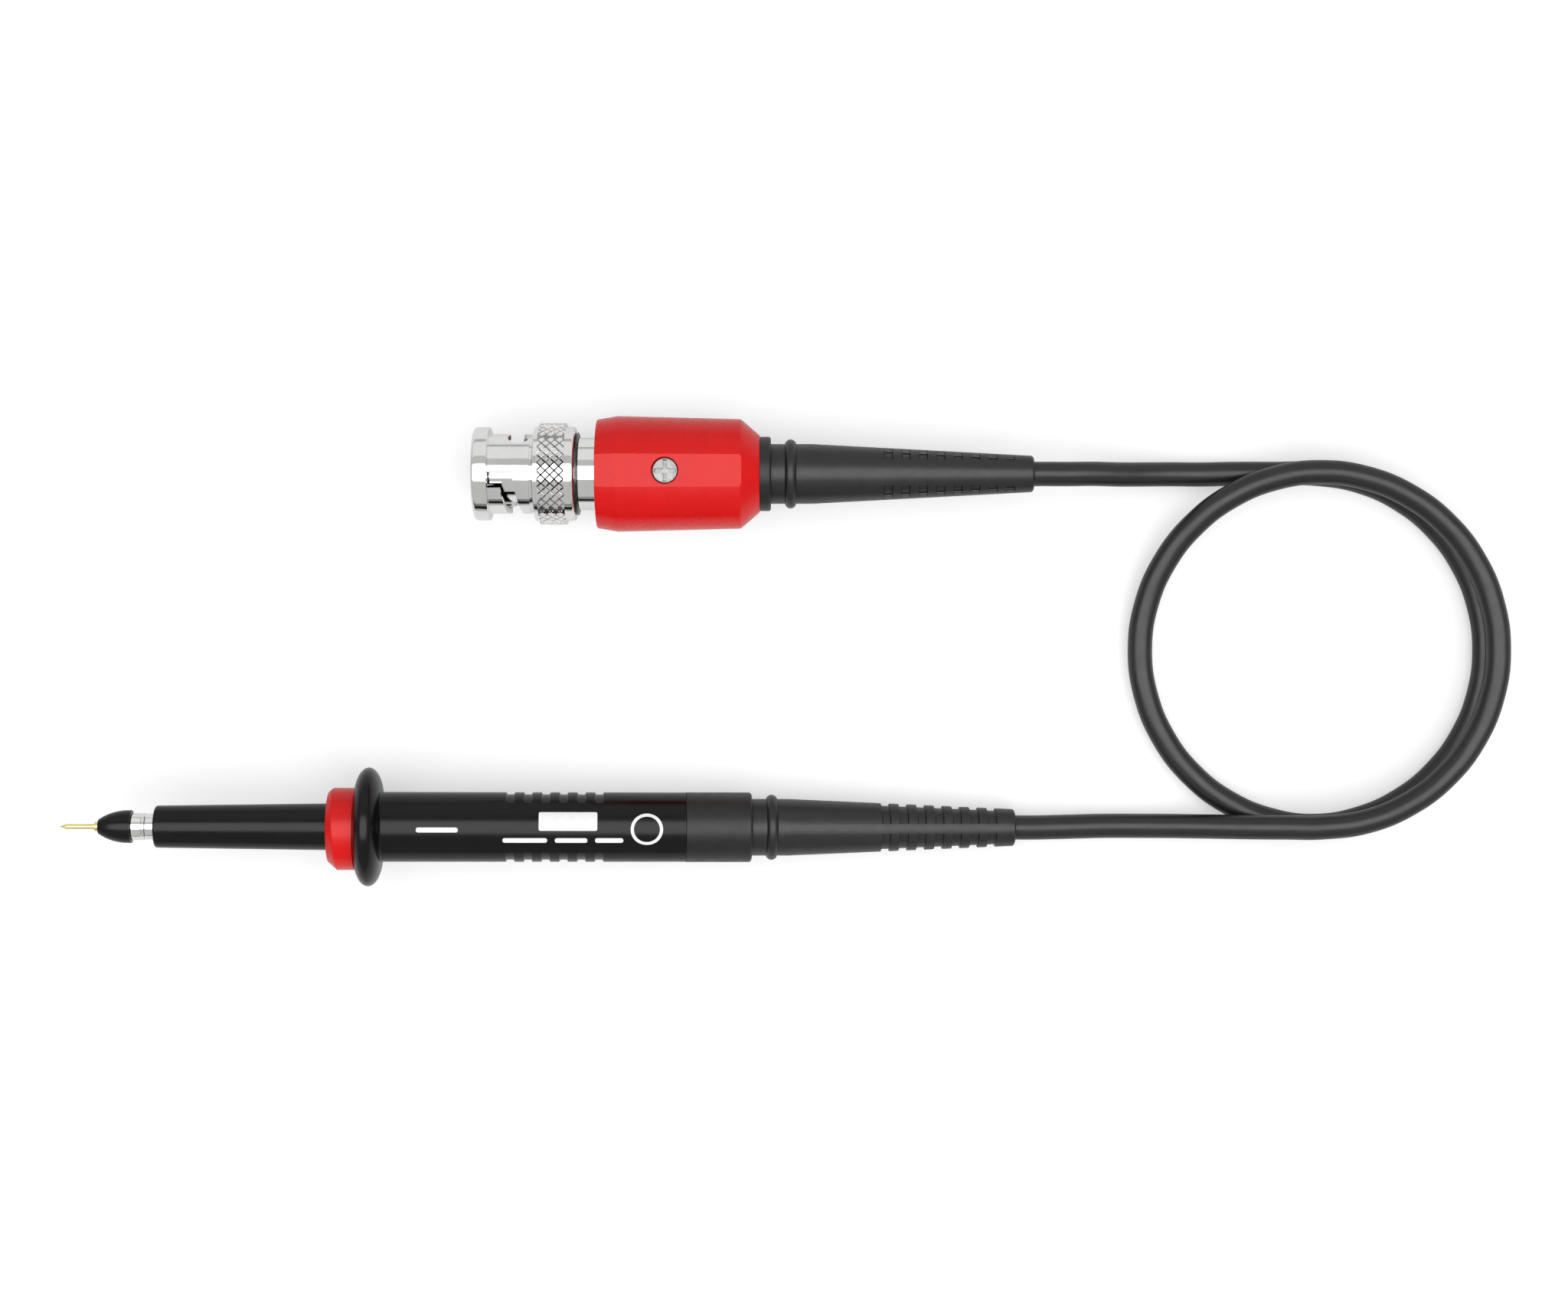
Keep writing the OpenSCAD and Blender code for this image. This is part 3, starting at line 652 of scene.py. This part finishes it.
def red_collar():
    """Its outside is off centre towards -Y, and a cone cuts its front edge."""
    near, far = 5.57, 6.17
    front, face_r, slope, rear = -5.7, 4.95, 0.91, -GUARD_HALF
    steps, beyond = 60, 7.2
    outer, off = (near + far) / 2, (near - far) / 2

    def shape(x, radius, angle):
        if radius < BARREL_REAR_R + 0.2:
            return radius
        side = math.sin(angle)
        round_r = off * side + math.sqrt(outer ** 2 - (off * math.cos(angle)) ** 2)
        cone_r = face_r + (x - front) * slope
        blend = 0.12
        gap = min(max(0.5 + 0.5 * (cone_r - round_r) / blend, 0), 1)
        soft = cone_r * (1 - gap) + round_r * gap - blend * gap * (1 - gap)
        return min(soft, radius)

    stations = [(front + i * (rear - front) / steps, beyond) for i in range(1, steps + 1)]
    bm = turned(
        [(front, BARREL_REAR_R + 0.02), (front, face_r - 0.15), (front + 0.03, face_r - 0.02)]
        + stations + [(rear, BARREL_REAR_R + 0.02)],
        shape=shape,
    )
    obj = piece("red_collar", bm, PROBE, "red_plastic", nodes=["insulating_collar"])
    obj.visible_diffuse = False    # throws no red light on the floor


def wall_shares(at, share_in, share_out, reach=0.07):
    """Stations and shares of a soft-edged wall between two levels."""
    ease = (0, 0.08, 0.5, 0.92, 1)
    return [
        (at + reach * (i - 2) / 2, share_in + (share_out - share_in) * e)
        for i, e in enumerate(ease)
    ]


def handle():
    """Guard and grip in one. The guard's section is half an ellipse, and six grooves on each side
    fade out towards the top and underside."""
    count, first, pitch, width, depth, span = 6, 20.25, 2.54, 1.1, 0.31, math.radians(45)
    wall = 0.14
    arc_end, arc_step = 162, 3
    off = depth * (HANDLE_R - depth / 2) / (HANDLE_R * (1 - math.cos(span)) - depth)
    floor_r = HANDLE_R - depth + off
    bore = 4.1

    def columns(radius):
        listed = []
        for angle, _ in even_columns(radius):
            side, top = abs(math.sin(angle)), math.cos(angle)
            floor = math.sqrt(floor_r ** 2 - (off * top) ** 2) - off * side
            listed.append((angle, max(0, HANDLE_R - floor)))
        return listed

    grooves = []
    for i in range(count):
        at = first + pitch * i
        for edge, inside, outside in ((at - width / 2, 0, 1), (at + width / 2, 1, 0)):
            grooves += [
                (x, HANDLE_R, 0, share) for x, share in wall_shares(edge, inside, outside, wall)
            ]
    guard = []
    for degrees in range(0, arc_end, arc_step):
        t = math.radians(degrees)
        rise = (GUARD_R - HANDLE_R) * math.sin(t)
        guard.append((-GUARD_HALF * math.cos(t), HANDLE_R + rise))
    bm = turned(
        [(-GUARD_HALF, BARREL_REAR_R + 0.02)] + guard + [(GUARD_HALF, HANDLE_R, 0.4)]
        + grooves
        + [
            (SLEEVE_START, HANDLE_R, 0.05), (SLEEVE_START, 4.5), (48.4, 4.5, 0.2), (48.4, bore),
            (6.4, bore), (6.4, BARREL_REAR_R + 0.02),
        ],
        columns=columns,
        depth=1,
    )
    piece("grip", bm, PROBE, "black_gloss", nodes=["handle"])


def rear_sleeve():
    bm = turned([
        (SLEEVE_START + 0.03, 4.52), (SLEEVE_START + 0.03, 5.02, 0.05), (SLEEVE_END, 5.02, 0.45),
        (SLEEVE_END, 3.22, 0.1), (SLEEVE_END - 1.5, 3.22), (SLEEVE_END - 1.5, 4.1),
        (48.42, 4.1), (48.42, 4.52),
    ])
    piece("sleeve", bm, PROBE, "grey_plastic", nodes=["rear_sleeve"])


def strip_columns(top_strip, side_strip):
    """Columns whose lines follow the edges of the uncut strips, where a share of 0 leaves the
    surface whole. A strip's width stays the same while the surface tapers."""
    reach = 0.05
    least_r = 2.6
    top_steps, cut_steps, side_steps = 6, 16, 5

    def columns(radius):
        around = max(radius, least_r)
        slack = reach / around
        top = math.asin(top_strip / 2 / around)
        side = math.pi / 2 - math.asin(side_strip / 2 / around)
        quarter = [(top * i / top_steps, 0) for i in range(top_steps)]
        quarter += wall_shares(top, 0, 1, slack)
        quarter += [(top + (side - top) * i / cut_steps, 1) for i in range(1, cut_steps)]
        if side_strip:
            quarter += wall_shares(side, 1, 0, slack)
            rest = math.pi / 2 - side
            quarter += [(side + rest * i / side_steps, 0) for i in range(1, side_steps)]
        quarter.append((math.pi / 2, 0 if side_strip else 1))
        half = quarter + [(math.pi - a, share) for a, share in quarter[-2::-1]]
        return half[:-1] + [(math.pi + a, share) for a, share in half[:-1]]

    return columns


def relief_slots(first_rib, pitch, count, length, surface):
    """Outline points of a row of slots; each slot ends where a rib starts."""
    points = []
    for i in range(count):
        rib = first_rib + pitch * i
        for edge, inside, outside in ((rib - length, 0, 1), (rib, 1, 0)):
            points += [(x, surface(x), 0, share) for x, share in wall_shares(edge, inside, outside)]
    return points


def probe_relief():
    taper_start, end_r = 60.15, 2.67
    slope = (RELIEF_R - end_r) / (PROBE_END - taper_start)
    bore = CABLE_D / 2 + 0.01
    slots = relief_slots(74.81, 2.57, 7, 1.2, lambda x: RELIEF_R - (x - taper_start) * slope)
    bm = turned(
        [(52, bore), (52, 4.0, 0.1), (53.35, 4.0, 0.1), (53.35, 3.2), (54.9, 3.2), (54.9, RELIEF_R)]
        + ring_seat(*PROBE_RING, SEAT_R, RELIEF_R)
        + [(taper_start, RELIEF_R)] + slots
        + [(PROBE_END, end_r, 0.35), (PROBE_END, bore, 0.1)],
        columns=strip_columns(1.56, 0),
        depth=0.36,
    )
    piece("probe_relief", bm, PROBE, "grey_rubber", nodes=["probe_strain_relief"])


needle()
socket()
nose()
reference_ring()
barrel()
red_collar()
handle()
rear_sleeve()
probe_relief()
round_ring("probe_ring", *PROBE_RING, RING_R, PROBE, ["probe_marker_ring"])

# ---- Printed marks on the handle ------------------------------------------------------------

INK_T = 0.02                 # over and under the handle's surface


def printed(name, rows):
    """Thin patch of ink on the handle. rows hold points (station, way round from the top)."""
    bm = bmesh.new()
    levels = []
    for radius in (HANDLE_R - INK_T, HANDLE_R + INK_T):
        levels.append([
            [bm.verts.new(on_wall(x, radius, s / HANDLE_R)) for x, s in row] for row in rows
        ])
    low, high = levels
    last_row, last = len(rows) - 1, len(rows[0]) - 1
    for i in range(last_row):
        for j in range(last):
            for level in levels:
                bm.faces.new((level[i][j], level[i + 1][j], level[i + 1][j + 1], level[i][j + 1]))
    for i in range(last_row):
        for j in (0, last):
            bm.faces.new((low[i][j], low[i + 1][j], high[i + 1][j], high[i][j]))
    for j in range(last):
        for i in (0, last_row):
            bm.faces.new((low[i][j], low[i][j + 1], high[i][j + 1], high[i][j]))
    piece(name, bm, PROBE, "white_ink")


def printed_bar(name, start, end, middle_s, width, corner):
    """Bar along the handle with round corners."""
    steps, half_columns = 8, 5
    ends = [corner * (1 - math.cos(math.pi / 2 * i / steps)) for i in range(steps + 1)]
    stations = [start + e for e in ends] + [end - e for e in reversed(ends)]
    rows = []
    for x in stations:
        near = min(x - start, end - x)
        inset = corner - math.sqrt(max(0, corner ** 2 - max(0, corner - near) ** 2))
        half = width / 2 - inset
        shares = range(-half_columns, half_columns + 1)
        rows.append([(x, middle_s + half * j / half_columns) for j in shares])
    printed(name, rows)


def printed_ring(name, at, middle_s, outer, inner):
    steps = 72
    rows = []
    for i in range(steps + 1):
        t = 2 * math.pi * i / steps
        rows.append([
            (at + r * math.cos(t), middle_s + r * math.sin(t))
            for r in (inner, (inner + outer) / 2, outer)
        ])
    printed(name, rows)


printed_bar("mark_range", 7.1, 13.0, -0.1, 0.7, 0.3)
printed_bar("label", 24.4, 32.7, 1.15, 2.7, 0.25)
printed_bar("mark_line_a", 19.3, 25.6, -1.62, 0.7, 0.3)
printed_bar("mark_line_b", 26.7, 31.3, -1.62, 0.7, 0.3)
printed_bar("mark_line_c", 32.4, 36.4, -1.62, 0.7, 0.3)
printed_ring("mark_ring", 39.75, 0, 2.3, 1.85)

# ---- Plug -----------------------------------------------------------------------------------

# SLOT_ANGLE is where a slot starts, and SLOT_TURN how far it winds to its detent.
NUT_BORE = 4.95
NUT_SLEEVE_R = 5.68
COLLAR_R = 6.74
KNURL_R = 7.25
KNURL_FRONT, KNURL_REAR = -8.15, -4.35
VALLEY_R = 6.82
SLOT_ANGLE, SLOT_TURN = math.radians(-12.3), math.radians(104.5)
DETENT_AT, DETENT_R = -11.04, 1.6


def slot_cutters(half_turn):
    """Cutters of one bayonet slot: the entry under the front ring, the window, ramp and detent."""
    width, rear, ramp_front, ramp_w = 2.3, -11.65, -12.7, 2.1
    low, high = 4.2, 7.6
    turn = Matrix.Rotation(-(SLOT_ANGLE + half_turn), 4, "X")
    entry = block((-18.5, -width / 2, low), (-15.1, width / 2, NUT_SLEEVE_R - 0.1))
    window = block((-15.29, -width / 2, low), (rear, width / 2, high))
    for bm in (entry, window):
        bmesh.ops.transform(bm, matrix=turn, verts=bm.verts)
    steps = 40
    sections = []
    for i in range(steps + 1):
        t = i / steps
        x = ramp_front + (DETENT_AT - ramp_front) * t
        angle = SLOT_ANGLE + half_turn - SLOT_TURN * t
        corners = ((-1, low), (1, low), (1, high), (-1, high))
        sections.append([on_wall(x + side * ramp_w / 2, r, angle) for side, r in corners])
    end = SLOT_ANGLE + half_turn - SLOT_TURN
    return [entry, window, swept(sections), radial_hole(DETENT_AT, end, DETENT_R, low, high)]


def nut():
    bm = turned([
        (-17.6, NUT_BORE, 0.2), (-17.6, 6.69, 0.6), (-15.3, 6.69, 0.15), (-15.3, NUT_SLEEVE_R, 0.08),
        (-9.4, NUT_SLEEVE_R, 0.05), (-9.4, 5.43), (-9.15, 5.43), (-8.8, COLLAR_R, 0.12),
        (KNURL_FRONT, COLLAR_R), (KNURL_REAR, COLLAR_R), (-3.0, COLLAR_R, 0.45),
        (-3.0, 4.6), (-4.2, 4.6), (-4.2, 5.7), (-6.9, 5.7), (-6.9, NUT_BORE),
    ])
    cutters = slot_cutters(0) + slot_cutters(math.pi)
    piece("nut", bm, BOX, "nickel", body="nut", nodes=["coupling_nut"], cutters=cutters)


def knurled_band():
    """Flat-topped diamonds between V grooves that cross at 45 degrees."""
    around, along = 38, 3
    pitch_a = 2 * math.pi / around
    pitch_x = (KNURL_REAR - KNURL_FRONT) / along
    top = 0.77
    inner_r = VALLEY_R - 0.2
    bm = bmesh.new()
    known = {}

    def vertex(i, j, radius):
        """Corner at half pitches i along the band and j round it."""
        j %= 2 * around
        key = (round(i, 3), round(j, 3), radius)
        if key not in known:
            point = on_wall(KNURL_FRONT + i * pitch_x / 2, radius, j * pitch_a / 2)
            known[key] = bm.verts.new(point)
        return known[key]

    def diamond(i, j):
        """One diamond with its middle at (i, j); at the band's sides only its inner half."""
        corners = [(-1, 0), (0, 1), (1, 0), (0, -1)]
        inside = [(a, b) for a, b in corners if 0 <= i + a <= 2 * along]
        valley = [vertex(i + a, j + b, VALLEY_R) for a, b in inside]
        crest = [vertex(i + a * top, j + b * top, KNURL_R) for a, b in inside]
        bm.faces.new(crest)
        for k in range(len(inside)):
            n = (k + 1) % len(inside)
            bm.faces.new((valley[k], valley[n], crest[n], crest[k]))

    for i in range(2 * along + 1):
        for j in range(2 * around):
            if (i + j) % 2:
                diamond(i, j)
    for i in (0, 2 * along):
        for j in range(0, 2 * around, 2):
            corners = [(i, j), (i, j + 2)]
            outer = [vertex(a, b, VALLEY_R) for a, b in corners]
            inner = [vertex(a, b, inner_r) for a, b in corners]
            bm.faces.new((outer[0], outer[1], inner[1], inner[0]))
    for j in range(0, 2 * around, 2):
        bm.faces.new([vertex(a, b, inner_r) for a, b in (
            (0, j), (2 * along, j), (2 * along, j + 2), (0, j + 2))])
    piece("knurl", bm, BOX, "nickel", body="nut")


def neck():
    bm = turned([
        (-5.78, 4.21), (-5.78, 4.55), (-2.6, 4.55), (-2.6, 5.17, 0.12), (-0.02, 5.17),
        (-0.02, 4.9), (1.52, 4.9), (1.52, 6.2), (2.5, 6.2, 0.1), (2.5, 4.21),
    ])
    piece("neck", bm, BOX, "nickel", nodes=["bnc_body"])


nut()
knurled_band()
neck()

# ---- Compensation box -----------------------------------------------------------------------

# (station, radius) of the round shell, and (station, height over the axis) of its upper flat.
HOUSING_PROFILE = ((0, 7.79), (3.0, 8.29), (20.6, 7.85), (23.3, 5.51))
FLAT_PROFILE = ((0, 7.45), (3.0, 7.95), (20.6, 7.51), (23.3, 7.44))
AXIS_HEIGHT = 7.4            # of the axis over the table, which the lower flat rests on
TRIMMER_AT = 10.0
TRIMMER_R = 1.84
BOX_RING = (27.72, 4.12)     # station and radius of the ring's centre line


def along_profile(profile, x):
    for (x0, r0), (x1, r1) in zip(profile, profile[1:]):
        if x <= x1:
            return r0 + (r1 - r0) * (x - x0) / (x1 - x0)
    return profile[-1][1]


def housing():
    """Round shell with a flat along the top and another to rest on; lines of the mesh follow the
    edges of both flats."""
    inner_r = 6.4
    least, slack = math.radians(1.5), math.radians(0.5)
    flat_steps, side_steps = 8, 48

    def edge_angle(flat, radius):
        return math.acos(min(1, flat / radius)) if radius > flat else 0

    def columns_at(x, radius):
        top = max(edge_angle(along_profile(FLAT_PROFILE, x), radius), least)
        under = max(edge_angle(AXIS_HEIGHT, radius), least)
        half = [top * i / flat_steps for i in range(flat_steps)]
        half += [top - slack, top, top + slack]
        span = math.pi - top - under
        half += [top + span * i / side_steps for i in range(1, side_steps)]
        half += [math.pi - under - slack, math.pi - under, math.pi - under + slack]
        half += [math.pi - under * (1 - i / flat_steps) for i in range(1, flat_steps)]
        return half + [math.pi] + [2 * math.pi - a for a in reversed(half[1:])]

    front, _, shoulder, rear = HOUSING_PROFILE
    stations = (1, 2, 2.94, 3.06, 5, 8, 11, 14, 17)
    corners = [(0, 4.92), (*front, 0.2)]
    corners += [(x, along_profile(HOUSING_PROFILE, x)) for x in stations]
    corners += [
        (*shoulder, 0.6), (*rear, 0.1), (23.3, 4.7), (21.5, 4.7), (21.5, inner_r),
        (1.5, inner_r), (1.5, 4.92),
    ]
    bm = bmesh.new()
    rings = []
    for x, r, _ in rounded(corners):
        surface = max(along_profile(HOUSING_PROFILE, x), r)
        ring = []
        for angle in columns_at(x, surface):
            radius = r
            up = math.cos(angle)
            if up > 0:
                radius = min(radius, along_profile(FLAT_PROFILE, x) / up)
            if up < 0:
                radius = min(radius, AXIS_HEIGHT / -up)
            ring.append(bm.verts.new(on_wall(x, radius, angle)))
        rings.append(ring)
    for a, b in zip(rings, rings[1:] + rings[:1]):
        join_rings(bm, a, b)
    gap, chamfer, hole_low, hole_high = 0.06, 0.06, 5, 7.79
    hole = radial_hole(TRIMMER_AT, 0, TRIMMER_R + gap, hole_low, hole_high, chamfer)
    obj = piece("shell", bm, BOX, "red_plastic", nodes=["housing"], cutters=[hole], sharp=FACET)
    obj.visible_diffuse = False    # throws no red light on the floor


def trimmer_screw():
    """Domed screw head with a cross recess, and the rotor's shank under it."""
    top, edge, dome = 7.5, 0.22, 0.12
    steps = 10
    head = [(TRIMMER_R * i / steps, top - dome * (i / steps) ** 2) for i in range(steps)]
    outline = [(z, r) for r, z in head] + [
        (top - dome, TRIMMER_R, edge), (4.9, TRIMMER_R, 0.1), (4.9, 1.2), (1.2, 1.2, 0.1), (1.2, 0)
    ]
    bm = turned(outline)
    bmesh.ops.transform(bm, matrix=Matrix.Rotation(-math.pi / 2, 4, "Y"), verts=bm.verts)
    place = BOX @ Matrix.Translation((TRIMMER_AT * MM, 0, 0))
    screw = piece(
        "screw", bm, place, "satin_nickel", body="trimmer", nodes=["trimmer_screw"],
        cutters=[cross_cutter(top)],
    )


def cross_cutter(top):
    """Cross with rounded inner corners and sloped sides."""
    arm, half_w, fillet, depth = 1.58, 0.28, 0.22, 0.55
    steps = 5
    outline = []
    for k in range(4):
        turn = Matrix.Rotation(k * math.pi / 2, 2)
        outline.append(turn @ Vector((arm, -half_w)))
        outline.append(turn @ Vector((arm, half_w)))
        for i in range(steps + 1):
            t = math.pi / 2 * i / steps
            middle_at = half_w + fillet
            outline.append(turn @ Vector((middle_at - fillet * math.sin(t),
                                          middle_at - fillet * math.cos(t))))
    sections = []
    for z, grow in ((top - depth, 0.9), (top + 0.4, 1.06)):
        sections.append([(p.x * grow, p.y * grow, z) for p in outline])
    return swept(sections)


def end_collar():
    bm = turned([
        (21.7, 3.22), (21.7, 4.68, 0.1), (23.32, 4.68), (23.32, 5.33, 0.03), (24.9, 5.33, 0.35),
        (24.9, 3.22, 0.1),
    ])
    piece("end_collar", bm, BOX, "grey_plastic", nodes=["rear_collar"])


def box_relief():
    neck_r, taper_start, end_r = 4.29, 30.8, 2.6
    slope = (neck_r - end_r) / (BOX_END - taper_start)
    bore = CABLE_D / 2 + 0.01
    pockets = relief_slots(42.3, 2.5, 8, 1.2, lambda x: neck_r - (x - taper_start) * slope)
    bm = turned(
        [(22.3, bore), (22.3, 3.2, 0.1), (24.92, 3.2), (24.92, neck_r)]
        + ring_seat(*BOX_RING, SEAT_R, neck_r)
        + [(taper_start, neck_r)] + pockets
        + [(BOX_END, end_r, 0.45), (BOX_END, bore, 0.1)],
        columns=strip_columns(3.8, 2.1),
        depth=0.5,
    )
    piece("box_relief", bm, BOX, "grey_rubber", nodes=["box_strain_relief"])


housing()
trimmer_screw()
end_collar()
box_relief()
round_ring("box_ring", *BOX_RING, RING_R, BOX, ["box_marker_ring"])

# ---- Springs --------------------------------------------------------------------------------

SPRING_WIRE = 0.05           # radius of the wire
WASHER_WIDTH = 0.65
WASHER_SHEET = 0.3


def tip_spring():
    """Coil spring behind the needle, its end turns closer together."""
    low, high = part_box("tip_spring")
    centre = PROBE.inverted() @ middle("tip_spring") / MM
    length = (high.x - low.x) / MM - 2 * SPRING_WIRE
    coil_r = (high.y - low.y) / 2 / MM - 1.5 * SPRING_WIRE
    turns, crowding = 9, 0.12
    steps = 24 * turns
    sides = 10
    sections = []
    for i in range(steps + 1):
        share = i / steps
        x = centre.x + length * (share - 0.5 - crowding * math.sin(2 * math.pi * share))
        section = []
        for j in range(sides):
            b = 2 * math.pi * j / sides
            r = coil_r + SPRING_WIRE * math.cos(b)
            section.append(on_wall(x + SPRING_WIRE * math.sin(b), r, 2 * math.pi * turns * share))
        sections.append(section)
    spring = piece("coil_spring", swept(sections), PROBE, "spring_steel", nodes=["tip_spring"])
    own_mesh(spring)


def wave_washer():
    """Three-wave spring washer."""
    low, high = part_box("spring_washer")
    centre = BOX.inverted() @ middle("spring_washer") / MM
    length = (high.x - low.x) / MM
    outer = (high.y - low.y) / 2 / MM
    lift = (length - WASHER_SHEET) / 2
    half = WASHER_SHEET / 2
    inner = outer - WASHER_WIDTH
    corners = [(-half, outer), (half, outer), (half, inner), (-half, inner)]
    waves = 3
    bm = bmesh.new()
    rings = []
    for i in range(SIDES):
        t = 2 * math.pi * i / SIDES
        x = centre.x + lift * math.cos(waves * t)
        rings.append([bm.verts.new(on_wall(x + dx, r, t)) for dx, r in corners])
    for a, b in zip(rings, rings[1:] + rings[:1]):
        join_rings(bm, a, b)
    washer = piece("wave_spring", bm, BOX, "spring_steel", nodes=["spring_washer"])
    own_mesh(washer)


tip_spring()
wave_washer()

# ---- Materials of the CAD pieces that stay --------------------------------------------------


def dress_nodes():
    slots = {part["node"]: part["material_slot"] for part in frame["record"]["subparts"]}
    for name, obj in frame["nodes"].items():
        obj.data.materials.clear()
        obj.data.materials.append(MATERIALS[slots[name]])
        if not obj.hide_render:
            obj.modifiers.new("normals", "WEIGHTED_NORMAL").keep_sharp = True


dress_nodes()

# ---- Floor and light ------------------------------------------------------------------------

# Metres. The depths are below the part's lowest point, and the glow is nearer to it.
FLOOR_REACH = 30
FLOOR_DEPTH = 0.0001
GLOW_DEPTH = 0.00005
FLOOR_LIGHT = 0.14
GLOW_LIGHT = 0.27


def ground_sheet(name, depth, finish):
    """Large flat sheet at a depth below the lowest point of the part."""
    bm = bmesh.new()
    bmesh.ops.create_grid(bm, x_segments=1, y_segments=1, size=FLOOR_REACH)
    mesh = bpy.data.meshes.new(name)
    bm.to_mesh(mesh)
    bm.free()
    mesh.materials.append(finish.material)
    obj = bpy.data.objects.new(name, mesh)
    obj.location.z = cad_box[0].z - depth
    bpy.context.scene.collection.objects.link(obj)
    return obj


def floor():
    """White floor under a clear sheet that glows faintly, so that the shadows stay pale."""
    white = Finish("floor", 0.9)
    white.colours(rgb(222, 222, 222), rgb(225, 225, 225), 0.01)
    white.set(Emission_Color=(1, 1, 1, 1), Emission_Strength=FLOOR_LIGHT, Specular_IOR_Level=0)
    ground_sheet("floor", FLOOR_DEPTH, white)
    glow = Finish("glow", 0.9)
    glow.shader.inputs["Base Color"].default_value = (0, 0, 0, 1)
    glow.set(Emission_Color=(1, 1, 1, 1), Emission_Strength=GLOW_LIGHT, Specular_IOR_Level=0)
    clear = glow.nodes.new("ShaderNodeBsdfTransparent")
    both = glow.nodes.new("ShaderNodeAddShader")
    glow.links.new(glow.shader.outputs["BSDF"], both.inputs[0])
    glow.links.new(clear.outputs["BSDF"], both.inputs[1])
    glow.links.new(both.outputs["Shader"], glow.nodes["Material Output"].inputs["Surface"])
    sheet = ground_sheet("glow", GLOW_DEPTH, glow)
    sheet.visible_diffuse = sheet.visible_glossy = sheet.visible_shadow = False


def panel(name, at, aim, size, radiance, glossy):
    """Soft rectangular light with a given radiance, seen either in gloss only or not in it."""
    data = bpy.data.lights.new(name, "AREA")
    data.shape = "RECTANGLE"
    data.size, data.size_y = size
    data.energy = radiance * math.pi * size[0] * size[1]
    obj = bpy.data.objects.new(name, data)
    obj.location = at
    obj.rotation_euler = (Vector(aim) - Vector(at)).to_track_quat("-Z", "Y").to_euler()
    obj.visible_glossy = glossy
    obj.visible_diffuse = not glossy
    bpy.context.scene.collection.objects.link(obj)


def lights():
    x = CAMERA_X
    panel("strip", (x, 0.02, 1.1), (x, 0.02, 0), (2.6, 0.84), 3.25, True)
    panel("card", (x, 1.6, 0.75), (x, 0, 0.1), (3.6, 1.5), 0.3, True)
    panel("sky", (x, 0, 1.6), (x, 0, 0), (24, 24), 0.34, True)
    panel("top", (x, 0, 1.4), (x, 0, 0), (2.4, 2.4), 1.08, False)
    panel("key", (x + 0.576, -0.768, 1.152), (x, 0, 0), (1.8, 1.8), 1.0, False)
    world = bpy.data.worlds.new("world")
    world.use_nodes = True
    background = world.node_tree.nodes["Background"]
    background.inputs["Color"].default_value = (1, 1, 1, 1)
    background.inputs["Strength"].default_value = 0.25
    bpy.context.scene.world = world


floor()
lights()
